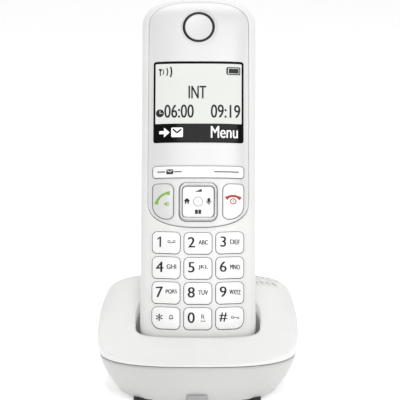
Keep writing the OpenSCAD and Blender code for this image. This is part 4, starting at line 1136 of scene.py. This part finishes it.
def baseBottom():
    # the flank is a sheet in angle and height, so that the sockets' openings can be cut out of it
    foot, top = base["foot"], lower["top"]
    low, around = foot + lower["round"], 40.0
    full = 2 * math.pi * around
    plane = divided(np.array([(0, low), (full, low), (full, top), (0, top)]), lineStep)
    sockets = []
    for side in (-1, 1):
        centre = (side * lower["jackX"], (lower["jackHigh"] + lower["jackLow"]) / 2)
        tall = lower["jackHigh"] - lower["jackLow"]
        box = divided(boxOutline(lower["jackWidth"], tall, 0.5, centre), lineStep)
        sockets.append(np.column_stack([flankAngleAt(box[:, 0], box[:, 1]) * around, box[:, 1]])[::-1])
    flat, faces = sheet(plane, sockets, 1.1)
    onFlank = lambda p: np.column_stack([sidePoint(p[:, 0] / around, p[:, 1]), p[:, 1]])
    parts = [(onFlank(flat), faces)]
    for loop in sockets:
        edge = onFlank(loop)
        depth = np.minimum(edge[:, 1], 41.5) - lower["wall"]
        parts.append(grid([edge, np.column_stack([edge[:, 0], depth, edge[:, 2]])]))
    # the step at the seam, the rounded lower edge and the floor
    angle = plane[plane[:, 1] == low][:-1, 0] / around
    rimTop = np.full(len(angle), top)
    rim = sidePoint(angle, rimTop)
    parts.append(grid([np.column_stack([rim, rimTop]), np.column_stack([rim * 0.985, rimTop])]))
    plan = sidePoint(angle, np.full(len(angle), low))
    size = np.linalg.norm(plan, axis=1)[:, None]
    rings = [np.column_stack([plan * (1 - lower["round"] * (1 - math.cos(a)) / size),
                              np.full(len(plan), low - lower["round"] * math.sin(a))])
             for a in np.linspace(0, math.pi / 2, 6)]
    parts.append(grid(rings))
    floor = rings[-1][:, :2]
    halfX, halfY = np.abs(floor).max(0)
    holes = []
    for x, y in ((-27, -27), (27, -27), (-28, 28), (28, 28)):
        # where a screw recess would run past the floor it is held just inside its edge
        loop = circle(x, y, 2.6, 40)
        within = 0.955 / planShare(loop[:, 0], loop[:, 1], halfX, halfY)
        holes.append(loop * np.minimum(1, within)[:, None])
    holes += [boxOutline(4.8, 10.8, 2.39, (s * 14, 4)) for s in (-1, 1)]
    holes += [boxOutline(1.4, 9.4, 0.69, (i * 3.4, -18)) for i in range(-3, 4)]
    flat, faces = sheet(floor, holes, 2.0)
    floorHeight = lambda x, y: np.full(len(x), foot)
    parts.append((lifted(flat, floorHeight), faces))
    parts += [grid([lifted(h, floorHeight), lifted(h, floorHeight) + [0, 0, 1.9]]) for h in holes]
    return joined(*parts)


# the lower housing takes the grey painted shade
piece("baseLowerHousing", baseBottom(), shadedLowerAbs, "base", "base_lower", ["base_lower_shell"],
      outwards=(0, handset["shiftY"], 10), thickness=1.2, place=placed)
print("base housing")

# ---------- carried-over nodes ----------

nodeFinish = {
    "base_board": boardGreen, "base_shield_can": nickel, "base_antenna": nickel, "base_feet": footRubber,
    "base_screws": zinc, "power_jack": jackBlack, "line_jack": jackGrey, "charge_spring_left": goldSpring,
    "charge_spring_right": goldSpring, "paging_key": pagingGrey, "paging_switch": jackBlack,
    "lcd_panel": guideAcrylic, "light_guide": guideAcrylic, "earpiece_receiver": moduleBlack,
    "nav_plunger": siliconeGrey, "keymat": siliconeGrey,
    "key_domes": nickel, "handset_board": boardGreen, "shield_can": nickel, "handset_antenna": nickel,
    "microphone": moduleBlack, "ringer_speaker": moduleBlack, "battery_cells": cellSleeve,
    "battery_contacts": nickel, "handset_screws": zinc}
for node, material in nodeFinish.items():
    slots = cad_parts[node].material_slots
    for s in slots:
        s.material = material
    if not slots:
        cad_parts[node].data.materials.append(material)
print("carried-over nodes finished")

# ---------- stage ----------

def stageFloor():
    # large plane that curves up far behind
    t = np.linspace(0.1, math.pi / 2, 12)
    front, bendY, radius, top, side = -4000, 3500, 1500, 9000, 6000
    y = np.concatenate([np.linspace(front, bendY, 8), bendY + radius * np.sin(t), [bendY + radius]])
    z = np.concatenate([np.zeros(8), radius * (1 - np.cos(t)), [top]])
    rings = [np.column_stack([np.full(len(y), x), y, z]) for x in np.linspace(-side, side, 9)]
    verts, faces = grid(rings, around=False)
    mesh = bpy.data.meshes.new("studioFloor")
    mesh.from_pydata((verts * mm).tolist(), [], faces.tolist())
    mesh.materials.append(floorPaint)
    for p in mesh.polygons:
        p.use_smooth = True
    obj = bpy.data.objects.new("studioFloor", mesh)
    bpy.context.scene.collection.objects.link(obj)


stageFloor()

view = dict(azimuth=0.5, elevation=9.0, distance=1300, targetX=0.8, targetZ=77.9, lens=275.5)
lights = [dict(name="keySoftbox", at=(180, -1000, 800), size=650, power=3.7, aim=(0, 0, 80)),
          dict(name="rightSoftbox", at=(1000, -500, 600), size=600, power=1.2, aim=(0, 0, 60)),
          dict(name="leftSoftbox", at=(-1000, -500, 600), size=600, power=0.5, aim=(0, 0, 60)),
          dict(name="topSoftbox", at=(0, 100, 1200), size=900, power=5.0, aim=(0, 0, 30))]


def aimed(obj, at, aim):
    obj.location = Vector(at) * mm
    obj.rotation_euler = (Vector(aim) * mm - obj.location).to_track_quat("-Z", "Y").to_euler()
    bpy.context.scene.collection.objects.link(obj)


def makeCamera():
    data = bpy.data.cameras.new("camera")
    data.lens = view["lens"]
    data.sensor_width = 36
    data.clip_end = 20
    a, e = math.radians(view["azimuth"]), math.radians(view["elevation"])
    target = Vector((view["targetX"], 0, view["targetZ"]))
    away = Vector((math.sin(a) * math.cos(e), -math.cos(a) * math.cos(e), math.sin(e))) * view["distance"]
    obj = bpy.data.objects.new("camera", data)
    aimed(obj, target + away, target)
    bpy.context.scene.camera = obj


makeCamera()
for light in lights:
    data = bpy.data.lights.new(light["name"], "AREA")
    data.shape = "DISK"
    data.size = light["size"] * mm
    data.energy = light["power"]
    aimed(bpy.data.objects.new(light["name"], data), light["at"], light["aim"])
world = bpy.data.worlds.new("studio")
world.use_nodes = True
sky = world.node_tree.nodes["Background"].inputs
sky["Color"].default_value = (1, 1, 1, 1)
sky["Strength"].default_value = 0.47
bpy.context.scene.world = world
bpy.context.scene.view_settings.view_transform = "Standard"
print("stage set")
